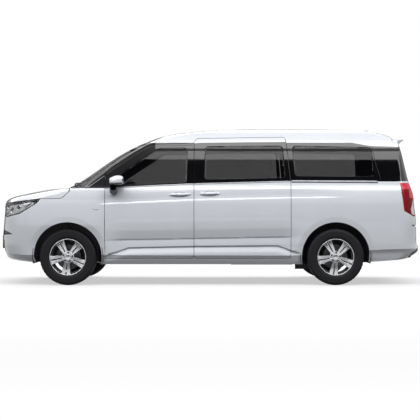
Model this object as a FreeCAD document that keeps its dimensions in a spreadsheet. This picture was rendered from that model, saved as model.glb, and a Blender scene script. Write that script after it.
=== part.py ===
"""Seven-seat minivan, built as separate sub-parts in one parametric FreeCAD document.

Frame: millimetres, +Z up, the ground at z = 0 under the tyres, the origin half way along the car.
The nose points to -X, so the car's left side is -Y.

The body is one lofted hull with a wall as thick as a whole door. LEVELS describes the hull by its plan
outline at a few heights, the *_OUTLINE tables say in side view where the real panels meet, and each panel
is the hull's wall inside its outline. Wheels, suspension, seats and other machined or moulded pieces are
PartDesign bodies and Part primitives bound to the sheet of sizes.
"""
import FreeCAD, Part
import math
import os
from collections import namedtuple
import Sketcher
from FreeCAD import Vector

doc = FreeCAD.newDocument("minivan")

# ---------------------------------------------------------------- driving sizes
SIZES = [  # alias, value, what it is (millimetres, or degrees where it says so)
    ("overall_length", 5200, "over both bumpers"),
    ("body_width", 1970, "over the door skins, mirrors apart"),
    ("wheelbase", 3200, "front axle to rear axle"),
    ("front_overhang", 920, "nose to front axle"),
    ("track", 1675, "between the middles of the tyres on one axle"),
    ("tyre_diameter", 676, "225/60 R16"),
    ("tyre_width", 225, "225/60 R16"),
    ("tyre_tread_width", 186, "flat part of the tread"),
    ("tyre_shoulder_drop", 14, "tread edge to sidewall, radially"),
    ("rim_diameter", 438, "over the rim flanges"),
    ("rim_width", 200, "over the rim flanges"),
    ("rim_seat_diameter", 412, "where the tyre bead sits"),
    ("rim_barrel_diameter", 384, "inside of the rim barrel"),
    ("rim_dish", 14, "how far the spokes lie inside the outer flange"),
    ("spoke_depth", 34, "along the axle"),
    ("spoke_width", 27, "one leg of a twin spoke"),
    ("spoke_pairs", 5, "twin spokes per rim"),
    ("spoke_pair_angle", 30, "between the two legs at the barrel, degrees"),
    ("hub_diameter", 150, "wheel centre"),
    ("hub_cap_diameter", 62, "centre cap"),
    ("bolt_circle", 112, "five wheel bolts"),
    ("disc_diameter", 320, "brake disc"),
    ("disc_thickness", 26, "brake disc"),
    ("spindle_diameter", 44, "wheel spindle"),
    ("arch_radius", 405, "wheel arch in the body side"),
    ("arch_rise", 12, "arch centre above the wheel centre"),
    ("liner_gap", 12, "wheelhouse liner outside the arch edge"),
    ("liner_wall", 6, "wheelhouse liner"),
    ("front_liner_inner", 505, "half distance between the front liners"),
    ("rear_liner_inner", 640, "half distance between the rear wheelhouses"),
    ("wall_low", 90, "doors and body side below the belt line"),
    ("wall_high", 45, "window frames and roof"),
    ("skin_step", 10, "depth of the outer step on a door's rear edge"),
    ("skin_step_in", 12, "how far the inner part of that edge stands back"),
    ("shut_gap", 6, "between a moving panel and its frame"),
    ("glass_inset", 7, "window glass inside the outer skin"),
    ("glass_thickness", 6, "window glass"),
    ("sill_bottom", 250, "underside of the sills"),
    ("door_bottom", 325, "lower shut line of the doors"),
    ("roof_line", 1712, "roof panel starts above the window frames"),
    ("door_front_behind_axle", 447, "front door, leading edge behind the front axle"),
    ("front_door_length", 1060, "to the shut line between the doors"),
    ("slide_rear_ahead_of_axle", 539, "sliding door, rear edge ahead of the rear axle"),
    ("door_hinge_inset", 6, "hinge line inside the widest skin"),
    ("door_hinge_ahead", 13, "hinge line ahead of the door's edge"),
    ("hinge_pin_diameter", 7, "hinge pins of doors, bonnet and tailgate"),
    ("hinge_barrel_diameter", 11, "hinge barrels"),
    ("hinge_length", 70, "one door hinge"),
    ("fit_clearance", 0.3, "running fit at pins and spindles"),
    ("floor_top", 300, "cabin floor"),
    ("floor_thickness", 45, "floor with its ribs"),
    ("floor_skin", 10, "sheet left over the fuel tank"),
    ("rear_floor_rise", 75, "luggage floor above the cabin floor"),
    ("rear_floor_behind_axle", 240, "step up to the luggage floor"),
    ("firewall_behind_axle", 375, "rear face of the bulkhead behind the front axle"),
    ("firewall_thickness", 40, "bulkhead"),
    ("bonnet_hinge_behind_axle", 32, "bonnet hinge line behind the front axle"),
    ("bonnet_hinge_z", 1147, "bonnet hinge line"),
    ("bonnet_rear_side", 15, "rear corners of the bonnet behind the front axle"),
    ("bonnet_rear_bow", 141, "how far its rear edge curves forward on the centre line"),
    ("tailgate_hinge_z", 1797, "tailgate hinge line"),
    ("tailgate_bottom", 785, "lower shut line of the tailgate"),
    ("tailgate_half_width", 745, "tailgate below the belt line"),
    ("kingpin_low_inset", 82.5, "lower ball joint inside the middle of the tyre"),
    ("kingpin_low_z", 200, "lower ball joint"),
    ("kingpin_top_inset", 237.5, "strut top mount inside the middle of the tyre"),
    ("kingpin_top_z", 960, "strut top mount"),
    ("strut_diameter", 52, "damper tube"),
    ("engine_length", 500, "block with its gearbox, along the car"),
    ("engine_width", 780, "block with its gearbox"),
    ("engine_height", 640, "block with its gearbox"),
    ("tank_length", 760, "fuel tank"),
    ("tank_width", 860, "fuel tank"),
    ("tank_height", 66, "fuel tank"),
    ("seat_width", 520, "one front or middle seat"),
    ("seat_from_centre", 400, "middle of a seat from the centre line"),
    ("bench_width", 1240, "rear bench"),
    ("plate_width", 440, "blank plate holder, front and rear"),
    ("plate_height", 140, "blank plate holder"),
    ("front_plate_bottom", 430, "blank plate holder on the front bumper"),
    ("rear_plate_bottom", 930, "blank plate holder on the tailgate"),
    ("plate_hole_spacing", 210, "between the two plate screws"),
    ("plate_hole_diameter", 6, "plate screws"),
    ("tow_hole_diameter", 16, "socket of the front towing eye"),
    ("mirror_stand", 145, "outer end of a mirror outside the body side"),
    ("steering_wheel_diameter", 370, "over the rim of the steering wheel"),
    ("steering_wheel_grip", 30, "thickness of its rim"),
    ("steering_rake", 28, "column below horizontal, degrees"),
]

sheet = doc.addObject("Spreadsheet::Sheet", "sizes")
for row, (alias, value, note) in enumerate(SIZES, start=1):
    sheet.set("A%d" % row, alias)
    sheet.set("B%d" % row, str(value))
    sheet.set("C%d" % row, note)
    sheet.setAlias("B%d" % row, alias)
doc.recompute()


class Dim:
    """A length that knows its value and the sheet expression it comes from."""

    def __init__(self, value, text):
        self.value = float(value)
        self.text = text

    @staticmethod
    def of(other):
        return other if isinstance(other, Dim) else Dim(other, repr(other))

    def combined(self, other, sign, value):
        return Dim(value, "(%s %s %s)" % (self.text, sign, Dim.of(other).text))

    def __add__(self, other):
        return self.combined(other, "+", self.value + float(other))

    def __radd__(self, other):
        return Dim.of(other) + self

    def __sub__(self, other):
        return self.combined(other, "-", self.value - float(other))

    def __rsub__(self, other):
        return Dim.of(other) - self

    def __mul__(self, other):
        return self.combined(other, "*", self.value * float(other))

    def __rmul__(self, other):
        return Dim.of(other) * self

    def __truediv__(self, other):
        return self.combined(other, "/", self.value / float(other))

    def __neg__(self):
        return Dim(-self.value, "(0 - %s)" % self.text)

    def __float__(self):
        return self.value


class Sizes:
    """Reads the sheet: size.wheelbase is a Dim bound to the cell of that name."""

    def __getattr__(self, alias):
        return Dim(sheet.get(alias), "sizes.%s" % alias)


size = Sizes()
NOSE = float(-size.overall_length / 2)
TAIL = float(size.overall_length / 2)
HALF = float(size.body_width / 2)
FRONT_AXLE = size.front_overhang - size.overall_length / 2
REAR_AXLE = FRONT_AXLE + size.wheelbase
WHEEL_Z = size.tyre_diameter / 2
WHEEL_Y = size.track / 2
GAP = float(size.shut_gap)
ROOF_LINE = float(size.roof_line)
OUTSIDE = HALF + 300  # beyond everything, for prisms that cut right through
PARTS = []  # every finished sub-part, in the order of the nodes

# ---------------------------------------------------------------- stations
# The tables below are drawn for one car. Where its nose, axles and doors move, what is drawn between them
# moves in proportion, and widths follow the width of the body.
door_front = float(FRONT_AXLE + size.door_front_behind_axle)
door_split = door_front + float(size.front_door_length)
slide_rear = float(REAR_AXLE - size.slide_rear_ahead_of_axle)
STATIONS = [  # drawn x, its place on this car
    (-2600.0, NOSE), (-1680.0, float(FRONT_AXLE)), (-1233.0, door_front), (-173.0, door_split),
    (981.0, slide_rear), (1520.0, float(REAR_AXLE)), (2600.0, TAIL)]
DRAWN_NOSE, DRAWN_TAIL = STATIONS[0][0], STATIONS[-1][0]
SIDE = (985.0, HALF)  # drawn half width, and its place on this car


def station(x):
    """Where a drawn x lies on this car."""
    if x <= DRAWN_NOSE:
        return x - DRAWN_NOSE + NOSE
    for (drawn_low, low), (drawn_high, high) in zip(STATIONS, STATIONS[1:]):
        if x <= drawn_high:
            return low + (x - drawn_low) * (high - low) / (drawn_high - drawn_low)
    return x - DRAWN_TAIL + TAIL


def breadth(y):
    """How far from the centre line a drawn y lies on this car."""
    return y * SIDE[1] / SIDE[0]


def side_drawn(points):
    """Side-view points (x, z) at their stations."""
    return [(station(x), z) for x, z in points]


def front_drawn(points):
    """Front-view points (y, z) at this car's width."""
    return [(breadth(y), z) for y, z in points]


# ---------------------------------------------------------------- hull of the body
Level = namedtuple("Level", "z nose_back nose_y nose_sag nose_corner side_in"
                            " tail_corner tail_y tail_sag tail_in crown")
LEVELS = [  # plan outline at each height; crown = 1 where the inner wall also drops below the roof
    Level(250, 480, 560, 60, 700, 70, 760, 680, 40, 600, 0),
    Level(320, 80, 590, 75, 500, 45, 330, 740, 53, 130, 0),
    Level(425, 38, 600, 75, 475, 30, 300, 740, 53, 0, 0),
    Level(510, 16, 600, 80, 470, 18, 290, 740, 53, 38, 0),
    Level(780, 29, 590, 85, 470, 0, 290, 740, 53, 48, 0),
    Level(970, 38, 570, 95, 500, 6, 300, 740, 45, 78, 0),
    Level(1030, 75, 560, 100, 560, 14, 300, 740, 42, 85, 1),
    Level(1100, 300, 520, 110, 800, 28, 300, 735, 40, 98, 1),
    Level(1150, 580, 440, 110, 960, 42, 300, 730, 40, 115, 1),
    Level(1178, 845, 760, 240, 1160, 55, 300, 725, 40, 126, 0),
    Level(1240, 950, 790, 230, 1250, 72, 300, 720, 40, 148, 0),
    Level(1657, 1595, 690, 180, 1830, 177, 310, 640, 35, 250, 0),
    Level(1741, 1790, 620, 150, 2020, 212, 330, 600, 35, 280, 1),
    Level(1800, 1950, 540, 120, 2250, 262, 480, 500, 35, 370, 1),
    Level(1850, 2230, 430, 90, 2600, 345, 680, 400, 30, 540, 1),
    Level(1885, 2600, 300, 60, 3000, 480, 1000, 280, 30, 820, 1),
    Level(1905, 3050, 150, 30, 3300, 720, 1600, 150, 20, 1400, 1),
]
BELT = 1200.0  # walls change from wall_low to wall_high here
QUARTER = math.sqrt(0.5)
CORNER_SHARE = 0.3  # how much of an inset the start of a corner takes along the car


def outline_wire(level, inset_low, inset_high, drop):
    """Plan outline at one level: nose arc, corner arcs, straight sides and tail arc, moved inwards."""
    inset = inset_low if level.z < BELT else inset_high
    z = level.z - drop * level.crown
    full_half = breadth(SIDE[0] - level.side_in)
    half = full_half - inset
    shrink = half / full_half
    nose = station(DRAWN_NOSE + level.nose_back) + inset
    nose_end = station(DRAWN_NOSE + level.nose_back + level.nose_sag) + inset
    tail = station(DRAWN_TAIL - level.tail_in) - inset
    tail_end = station(DRAWN_TAIL - level.tail_in - level.tail_sag) - inset
    side_start = station(DRAWN_NOSE + level.nose_corner) + CORNER_SHARE * inset
    side_end = station(DRAWN_TAIL - level.tail_corner) - CORNER_SHARE * inset

    def corner(end, side):
        return Vector(side.x - (side.x - end.x) * QUARTER, end.y + (side.y - end.y) * QUARTER, z)

    def across(x, y):
        return [Vector(x, -y, z), Vector(x, y, z)]

    nose_left, nose_right = across(nose_end, breadth(level.nose_y) * shrink)
    tail_left, tail_right = across(tail_end, breadth(level.tail_y) * shrink)
    start_left, start_right = across(side_start, half)
    end_left, end_right = across(side_end, half)
    edges = [
        Part.Arc(nose_left, Vector(nose, 0, z), nose_right).toShape(),
        Part.Arc(nose_right, corner(nose_right, start_right), start_right).toShape(),
        Part.makeLine(start_right, end_right),
        Part.Arc(end_right, corner(tail_right, end_right), tail_right).toShape(),
        Part.Arc(tail_right, Vector(tail, 0, z), tail_left).toShape(),
        Part.Arc(tail_left, corner(tail_left, end_left), end_left).toShape(),
        Part.makeLine(end_left, start_left),
        Part.Arc(start_left, corner(nose_left, start_left), nose_left).toShape(),
    ]
    return Part.Wire(edges)


def hull(inset_low, inset_high, drop=0.0):
    """The closed body form, moved inwards by the given wall."""
    wires = [outline_wire(level, inset_low, inset_high, drop) for level in LEVELS]
    return Part.makeLoft(wires, True, True)


# ---------------------------------------------------------------- helpers for cutting panels
def prism_side(points, y_from=-OUTSIDE, y_to=-400.0):
    """Side-view outline (x, z) extruded across the car; by default through the left wall only."""
    loop = [Vector(float(x), y_from, float(z)) for x, z in points]
    return Part.Face(Part.makePolygon(loop + loop[:1])).extrude(Vector(0, y_to - y_from, 0))


def prism_front(points, x_from, x_to):
    """Front-view outline (y, z) extruded along the car."""
    loop = [Vector(x_from, float(y), float(z)) for y, z in points]
    return Part.Face(Part.makePolygon(loop + loop[:1])).extrude(Vector(x_to - x_from, 0, 0))


def grown(points, gap):
    """The outline moved outwards by a gap, corners kept sharp."""
    loop = [Vector(float(x), float(z), 0) for x, z in points]
    wire = Part.makePolygon(loop + loop[:1])
    moved = wire.makeOffset2D(gap, 2)
    return [(v.Point.x, v.Point.y) for v in moved.OrderedVertexes]


def block(x_from, x_to, y_from, y_to, z_from, z_to):
    corner = Vector(float(x_from), float(y_from), float(z_from))
    return Part.makeBox(float(x_to) - corner.x, float(y_to) - corner.y, float(z_to) - corner.z, corner)


def rod(start, end, diameter):
    """Round bar between two points."""
    start = Vector(*[float(v) for v in start])
    run = Vector(*[float(v) for v in end]) - start
    return Part.makeCylinder(float(diameter) / 2, run.Length, start, run)


def mirrored(shape):
    return shape.mirror(Vector(0, 0, 0), Vector(0, 1, 0))


def both(shape):
    """A left piece and its mirror image in one compound."""
    return Part.makeCompound([shape, mirrored(shape)])


def sub_part(label, shape):
    """A finished sub-part whose form comes from the hull."""
    feature = doc.addObject("Part::Feature", label)
    feature.Label = label
    feature.Shape = shape
    feature.Placement = FreeCAD.Placement()
    PARTS.append(feature)
    return feature


def sided(label, left_shape):
    """The same panel on both sides of the car."""
    sub_part(label + "_left", left_shape)
    sub_part(label + "_right", mirrored(left_shape))


# ---------------------------------------------------------------- outlines in side view (x, z)
split_front = door_split - GAP / 2
split_rear = door_split + GAP / 2
door_bottom = float(size.door_bottom)
sill = float(size.sill_bottom)
floor_top = float(size.floor_top)
floor_low = floor_top - float(size.floor_thickness)
fender_rear = door_front - GAP

BUMPER_REAR, TAIL_BUMPER_FRONT = -2062, 1900  # drawn ends of the bumpers under the wheel arches
BEYOND = 20  # past the nose and the tail
nose_out, tail_out = NOSE - BEYOND, TAIL + BEYOND

FRONT_DOOR = [(door_front, door_bottom), (split_front, door_bottom), (split_front, ROOF_LINE - GAP),
              (station(-735), 1686), (door_front, 1366)]
FRONT_WINDOW = side_drawn([(-1140, 1196), (-262, 1226), (-250, 1652), (-590, 1648), (-1140, 1292)])
SLIDING_DOOR = [(split_rear, door_bottom), (slide_rear, door_bottom), (slide_rear, 1240)] + side_drawn([
    (935, 1690), (921, 1778), (-140, 1762)]) + [(split_rear, 1720)]
SLIDING_WINDOW = side_drawn([(-50, 1262), (925, 1284), (893, 1676), (-42, 1668)])
QUARTER_WINDOW = side_drawn([(1035, 1305), (1990, 1296), (1962, 1655), (1003, 1676)])
FENDER = [(fender_rear, sill), (fender_rear, 1160)] + side_drawn([
    (-1560, 1160), (-1655, 1121), (-1729, 1051), (-1763, 1036), (-1998, 1033), (-2049, 973), (-2124, 931),
    (BUMPER_REAR, 480), (BUMPER_REAR, sill)])
HEADLAMP = [(nose_out, 966)] + side_drawn([(-2428, 983), (-1998, 1033), (-2049, 973), (-2124, 931),
                                           (-2251, 856), (-2420, 818)]) + [(nose_out, 822)]
FRONT_BUMPER = [(nose_out, sill + 80)] + side_drawn([
    (-2441, sill + 64), (-2303, sill + 40), (BUMPER_REAR, sill + 14), (BUMPER_REAR, 480), (-2124, 931), (-2049, 973), (-1998, 1033), (-2428, 983)]) + [
    (nose_out, 966)]
BONNET = [(nose_out, 966 + GAP)] + side_drawn([
    (-2428, 983 + GAP), (-1998, 1033 + GAP), (-1766, 1036 + GAP), (-1733, 1052 + GAP), (-1665, 1117 + GAP),
    (-1600, 1300)]) + [(nose_out, 1300)]
REAR_BUMPER = side_drawn([
    (TAIL_BUMPER_FRONT, sill + 28), (2030, sill + 34), (2327, sill + 59), (2540, sill + 101)]) + [
    (tail_out, sill + 106), (tail_out, 819)] + side_drawn([
    (2450, 823), (2329, 888), (2230, 800), (TAIL_BUMPER_FRONT, 560)])
TAIL_LAMP = side_drawn([(2288, 1223)]) + [(tail_out, 1223), (tail_out, 819)] + side_drawn([
    (2450, 823), (2329, 888)])
SIDE_FRAME = [(fender_rear, sill)] + side_drawn([
    (TAIL_BUMPER_FRONT, sill), (TAIL_BUMPER_FRONT, 560), (2230, 800), (2329, 888), (2288, 1223)]) + [
    (tail_out, 1223), (tail_out, ROOF_LINE)] + side_drawn([
        (-1000, ROOF_LINE), (-1700, 1230), (-1655, 1121), (-1560, 1160)]) + [(fender_rear, 1160)]
WINDSCREEN = front_drawn([(-745, 1192), (745, 1192), (655, 1700), (-655, 1700)])
COWL = front_drawn([(-820, 1040), (820, 1040), (745, 1192), (-745, 1192)])
gate_half = float(size.tailgate_half_width)
gate_bottom = float(size.tailgate_bottom)
gate_top_half = breadth(672)
TAILGATE = [(-gate_half, gate_bottom), (gate_half, gate_bottom), (gate_half, 1235),
            (gate_top_half, ROOF_LINE + 40), (-gate_top_half, ROOF_LINE + 40), (-gate_half, 1235)]  # (y, z)
REAR_WINDOW = front_drawn([(-640, 1262), (640, 1262), (560, 1672), (-560, 1672)])

# ---------------------------------------------------------------- the hull's wall
outer = hull(0, 0)
inner = hull(float(size.wall_low), float(size.wall_high), float(size.wall_high))
wall = outer.cut(inner)
stepped = hull(float(size.skin_step), float(size.skin_step))
glass_out = float(size.glass_inset)
glass_in = glass_out + float(size.glass_thickness)
glass_skin = hull(glass_out, glass_out, glass_out).cut(hull(glass_in, glass_in, glass_in))


def arch(axle, radius, y_inner, y_outer=OUTSIDE):
    """Left wheel arch as a cylinder across the car."""
    centre = Vector(float(axle), -float(y_outer), float(WHEEL_Z + size.arch_rise))
    return Part.makeCylinder(float(radius), float(y_outer) - float(y_inner), centre, Vector(0, 1, 0))


def wheelhouse(axle, half_inner, closed):
    """Liner over one left wheel, trimmed to the inside of the body wall."""
    radius = size.arch_radius + size.liner_gap
    shell = arch(axle, radius + size.liner_wall, half_inner)
    hollow = arch(axle, radius, half_inner + size.liner_wall if closed else half_inner - 10)
    liner = shell.cut(hollow)
    return liner.common(inner).common(block(NOSE, TAIL, -OUTSIDE, 0, sill + 10, 1500))


front_arch = arch(FRONT_AXLE, size.arch_radius, 400)
rear_arch = arch(REAR_AXLE, size.arch_radius, 400)
left_half = block(NOSE - 50, TAIL + 50, -OUTSIDE, 0, 0, 2200)
pin = size.hinge_pin_diameter
barrel = size.hinge_barrel_diameter
bore = pin + 2 * size.fit_clearance

# ---------------------------------------------------------------- front doors and their hinges
hinge_x = door_front - float(size.door_hinge_ahead)
hinge_y = float(size.door_hinge_inset) - HALF
HINGE_Z = [735.0, 880.0]  # lower ends of the two hinges on a front door
pocket_reach = float(barrel / 2 + GAP)
pocket_slack = 1.0  # above and below a barrel

door_hinge_pins = []
door_hinge_pockets = []
door_hinge_arms = []
for z in HINGE_Z:
    top = z + float(size.hinge_length)
    door_hinge_pins.append(rod((hinge_x, hinge_y, z - 12), (hinge_x, hinge_y, top + 12), pin))
    door_hinge_pockets.append(block(hinge_x - pocket_reach, door_front, -OUTSIDE, hinge_y + pocket_reach,
                                    z - pocket_slack, top + pocket_slack))
    arm = rod((hinge_x, hinge_y, z), (hinge_x, hinge_y, top), barrel)
    arm = arm.fuse(block(hinge_x, door_front + 30, hinge_y - 1, hinge_y + float(barrel / 2), z, top))
    door_hinge_arms.append(arm.cut(rod((hinge_x, hinge_y, z - 1), (hinge_x, hinge_y, top + 1), bore)))

door = wall.common(prism_side(FRONT_DOOR)).cut(prism_side(FRONT_WINDOW))
rear_step = block(split_front - float(size.skin_step_in), split_front + 1, -OUTSIDE, -400, 0, 2000)
door = door.cut(stepped.common(rear_step)).fuse(door_hinge_arms)
Handle = namedtuple("Handle", "x_from x_to z_from z_to")
FRONT_HANDLE = Handle(-470, -209, 1070, 1104)
SLIDING_HANDLE = Handle(-108, 137, 1076, 1112)
HANDLE_PROUD = 8.0  # outside the widest skin
HANDLE_FOOT = 45.0  # length of the foot at each end


def handle(item):
    """Bridge handle seated in the skin, with a finger gap behind its middle."""
    start, end = station(item.x_from), station(item.x_to)
    bar = block(start, end, -HALF - HANDLE_PROUD, -HALF + 60, item.z_from, item.z_to)
    slot = block(start + HANDLE_FOOT, end - HANDLE_FOOT, -HALF + 12, -HALF + 80, item.z_from - 5, item.z_to + 5)
    return bar.cut(slot)


door = door.fuse(handle(FRONT_HANDLE).cut(stepped)).removeSplitter()
sided("door_front", door)
sided("door_glass_front", glass_skin.common(prism_side(FRONT_WINDOW)))

# ---------------------------------------------------------------- sliding doors
slide = wall.common(prism_side(SLIDING_DOOR)).cut(prism_side(SLIDING_WINDOW))
rollers = [  # middle arm in the rail behind the door, and the lower arm on the sill
    block(slide_rear - 30, slide_rear + GAP, -HALF + 80, -HALF + 120, 1150, 1180),
    block(station(80), station(80) + 60, -HALF + 55, -HALF + 105, door_bottom - GAP, door_bottom + 10),
]
slide = slide.fuse(rollers + [handle(SLIDING_HANDLE).cut(stepped)]).removeSplitter()
sided("sliding_door", slide)
sub_part("sliding_door_glass", both(glass_skin.common(prism_side(SLIDING_WINDOW))))

# ---------------------------------------------------------------- door mirrors
mirror_x = door_front + 56
mirror_stand = float(size.mirror_stand)
mirror_head = Part.makeBox(168, mirror_stand + 20, 118, Vector(mirror_x, -HALF - mirror_stand, 1192))
mirror_head = mirror_head.makeFillet(30, mirror_head.Edges)
mirror_pod = block(mirror_x, mirror_x + 84, -HALF - 25, -HALF + 85, 1085, 1215)
sided("mirror", mirror_head.fuse(mirror_pod).cut(outer).removeSplitter())

# ---------------------------------------------------------------- bonnet and cowl
bonnet_side_y = HALF - 25
bow = float(size.bonnet_rear_bow)
bonnet_radius = (bonnet_side_y ** 2 + bow ** 2) / (2 * bow)
bonnet_centre = Vector(float(FRONT_AXLE + size.bonnet_rear_side) - bow + bonnet_radius, 0, 0)


def behind_bonnet(clearance):
    return Part.makeCylinder(bonnet_radius - clearance, 2200, bonnet_centre)


bonnet_zone = prism_side(grown(BONNET, GAP), -OUTSIDE, OUTSIDE).cut(behind_bonnet(GAP))
bonnet_pin_z = float(size.bonnet_hinge_z)
bonnet_pin_x = float(FRONT_AXLE + size.bonnet_hinge_behind_axle)
pin_low_y, pin_high_y = -HALF + 50, -HALF + 117
knuckle_low_y, knuckle_high_y = -HALF + 63, -HALF + 99
bonnet_pin = rod((bonnet_pin_x, pin_low_y, bonnet_pin_z), (bonnet_pin_x, pin_high_y, bonnet_pin_z), pin)
bonnet_pocket = block(bonnet_pin_x - 70, bonnet_pin_x + pocket_reach, knuckle_low_y - 2, knuckle_high_y + 2,
                      bonnet_pin_z - pocket_reach, 1400)
bonnet_arm = rod((bonnet_pin_x, knuckle_low_y, bonnet_pin_z), (bonnet_pin_x, knuckle_high_y, bonnet_pin_z),
                 barrel)
bonnet_arm = bonnet_arm.fuse(block(bonnet_pin_x - 60, bonnet_pin_x, knuckle_low_y, knuckle_high_y,
                                   bonnet_pin_z - 5, bonnet_pin_z + 5))
bonnet_bore = rod((bonnet_pin_x, knuckle_low_y - 1, bonnet_pin_z),
                  (bonnet_pin_x, knuckle_high_y + 1, bonnet_pin_z), bore)
bonnet_arm = bonnet_arm.cut(bonnet_bore)
bonnet = wall.common(prism_side(BONNET, -OUTSIDE, OUTSIDE)).cut(behind_bonnet(0))
bonnet = bonnet.fuse([bonnet_arm, mirrored(bonnet_arm)])
sub_part("bonnet", bonnet)

cowl_prism = prism_front(COWL, station(-1860), station(-1300))
screen_prism = prism_front(WINDSCREEN, station(-1900), station(-700))
sub_part("cowl", wall.common(cowl_prism).cut(bonnet_zone))
sub_part("windscreen", glass_skin.common(screen_prism))

# ---------------------------------------------------------------- wings with the front wheelhouse liners
kingpin_low = Vector(float(FRONT_AXLE), -float(WHEEL_Y - size.kingpin_low_inset), float(size.kingpin_low_z))
kingpin_top = Vector(float(FRONT_AXLE), -float(WHEEL_Y - size.kingpin_top_inset), float(size.kingpin_top_z))
strut_hole = rod(kingpin_low, kingpin_top, size.strut_diameter + 40)
fender = wall.common(prism_side(FENDER)).cut(front_arch).cut(cowl_prism).cut(bonnet_zone)
fender = fender.cut(Part.makeCompound(door_hinge_pockets)).cut(bonnet_pocket).fuse(door_hinge_pins)
sided("fender", fender)
sided("wheel_liner", wheelhouse(FRONT_AXLE, size.front_liner_inner, False).cut(strut_hole))

# ---------------------------------------------------------------- side frames
front_opening = prism_side(grown(FRONT_DOOR, GAP))
slide_opening = prism_side(grown(SLIDING_DOOR, GAP))
gate_opening = prism_front(grown(TAILGATE, GAP), station(2150), TAIL + 60)
frame = wall.common(prism_side(SIDE_FRAME)).common(left_half)
frame = frame.cut([front_opening, slide_opening, gate_opening, screen_prism, cowl_prism, bonnet_zone,
                   rear_arch, prism_side(QUARTER_WINDOW), bonnet_pocket])
rear_liner = wheelhouse(REAR_AXLE, size.rear_liner_inner, True)
PILLAR_FOOT = 115  # the pillar's foot on the sill reaches this far inside the skin
pillar_depth_low = float(size.wall_low) + 60
pillar_depth_high = float(size.wall_high) + 45
pillar_inside = hull(pillar_depth_low, pillar_depth_high, pillar_depth_high)
pillar_outside = hull(float(size.wall_low) + GAP, float(size.wall_high) + GAP, float(size.wall_high) + GAP)
lining = inner.cut(pillar_inside)
running_gap = inner.cut(pillar_outside).common(front_opening.fuse(slide_opening))
pillar_front, pillar_rear = split_front - 62, split_front + 68
pillar_strip = block(pillar_front, pillar_rear, -OUTSIDE, -400, floor_top, 1770).cut(
    block(pillar_front - 1, pillar_rear + 1, -HALF + PILLAR_FOOT, -300, 0, door_bottom + GAP))
CANT_RAIL = side_drawn([(-786, 1675), (-752, 1700), (1100, 1700), (1100, 1770), (-786, 1770)])
inner_frame = lining.common(pillar_strip.fuse(prism_side(CANT_RAIL, -OUTSIDE, breadth(-640)))).cut(running_gap)
frame = frame.fuse([rear_liner, inner_frame, bonnet_pin])
sided("side_frame", frame)
sub_part("quarter_glass", both(glass_skin.common(prism_side(QUARTER_WINDOW))))

# ---------------------------------------------------------------- roof and tailgate
gate_pin_x = station(2206)
roof_rear = gate_pin_x + 7
gate_front = roof_rear + GAP
gate_pin_z = float(size.tailgate_hinge_z)
GATE_KNUCKLES = [(-400.0, -330.0), (330.0, 400.0)]  # the two hinges on the roof edge (y from, y to)
roof = wall.common(block(NOSE, roof_rear, -OUTSIDE, OUTSIDE, ROOF_LINE, 2200))
roof = roof.cut([slide_opening, mirrored(slide_opening)])
gate_arms = []
for y_from, y_to in GATE_KNUCKLES:
    reach = block(gate_pin_x - pocket_reach, roof_rear + 1, y_from - 1, y_to + 1,
                  gate_pin_z - pocket_reach, 2000)
    hinge_pin = rod((gate_pin_x, y_from - 12, gate_pin_z), (gate_pin_x, y_to + 12, gate_pin_z), pin)
    roof = roof.cut(reach).fuse(hinge_pin)
    arm = rod((gate_pin_x, y_from, gate_pin_z), (gate_pin_x, y_to, gate_pin_z), barrel)
    arm = arm.fuse(block(gate_pin_x, gate_front + 30, y_from, y_to, gate_pin_z - float(barrel / 2),
                         gate_pin_z + 1))
    gate_arms.append(arm.cut(rod((gate_pin_x, y_from - 1, gate_pin_z), (gate_pin_x, y_to + 1, gate_pin_z),
                                 bore)))
FIN = side_drawn([(1900, 1840), (1880, 1846), (1990, 1912), (2024, 1926), (2034, 1906), (2040, 1800)])
sub_part("roof_panel", roof.fuse(prism_side(FIN, -14, 14)))

spoiler_tip = station(2394)
SPOILER = [(gate_front, 1796), (gate_front + 81, 1789), (spoiler_tip, 1770), (spoiler_tip - 6, 1752),
           (spoiler_tip - 64, 1700), (spoiler_tip - 124, 1700), (gate_front, 1740)]
gate = wall.common(prism_front(TAILGATE, station(2160), TAIL + 60))
gate = gate.cut(block(station(2100), gate_front, -OUTSIDE, OUTSIDE, ROOF_LINE - 60, 2000))
gate_wings = wall.common(block(gate_front, TAIL, -OUTSIDE, OUTSIDE, ROOF_LINE + GAP, 2000))
gate = gate.cut(prism_front(REAR_WINDOW, station(2200), TAIL + 60))
PLATE_HOLE_Y = float(size.plate_hole_spacing) / 2
PLATE_HOLE_DEPTH = 20.0
front_plate_z = float(size.front_plate_bottom + size.plate_height / 2)
rear_plate_z = float(size.rear_plate_bottom + size.plate_height / 2)
plate_x = station(2534)  # just proud of the tailgate's skin
plate = block(plate_x - 40, plate_x, -size.plate_width / 2, size.plate_width / 2, size.rear_plate_bottom,
              size.rear_plate_bottom + size.plate_height)
gate = gate.fuse([gate_wings, prism_side(SPOILER, breadth(-640), breadth(640)), plate] + gate_arms)
gate = gate.cut([rod((plate_x + 1, side * PLATE_HOLE_Y, rear_plate_z),
                     (plate_x - PLATE_HOLE_DEPTH, side * PLATE_HOLE_Y, rear_plate_z),
                     size.plate_hole_diameter) for side in (-1, 1)])
sub_part("tailgate", gate)
sub_part("tailgate_glass", glass_skin.common(prism_front(REAR_WINDOW, station(2200), TAIL + 60)))

# ---------------------------------------------------------------- lamps, bumpers and grille
LAMP_INNER = breadth(480)  # inner end of a headlamp from the centre line
GRILLE_FRONT, GRILLE_BACK = 10.0, 50.0  # the grille's front and back inside the bumper's skin
GRILLE_DEPTH = 220.0  # how far the cut for grille and intake reaches back from the nose
lamp_zone = prism_side(HEADLAMP, -OUTSIDE, -LAMP_INNER)
sub_part("headlamps", both(wall.common(lamp_zone)))
tail_zone = prism_side(TAIL_LAMP)
sub_part("tail_lamps", both(wall.common(tail_zone).cut(gate_opening)))

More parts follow.
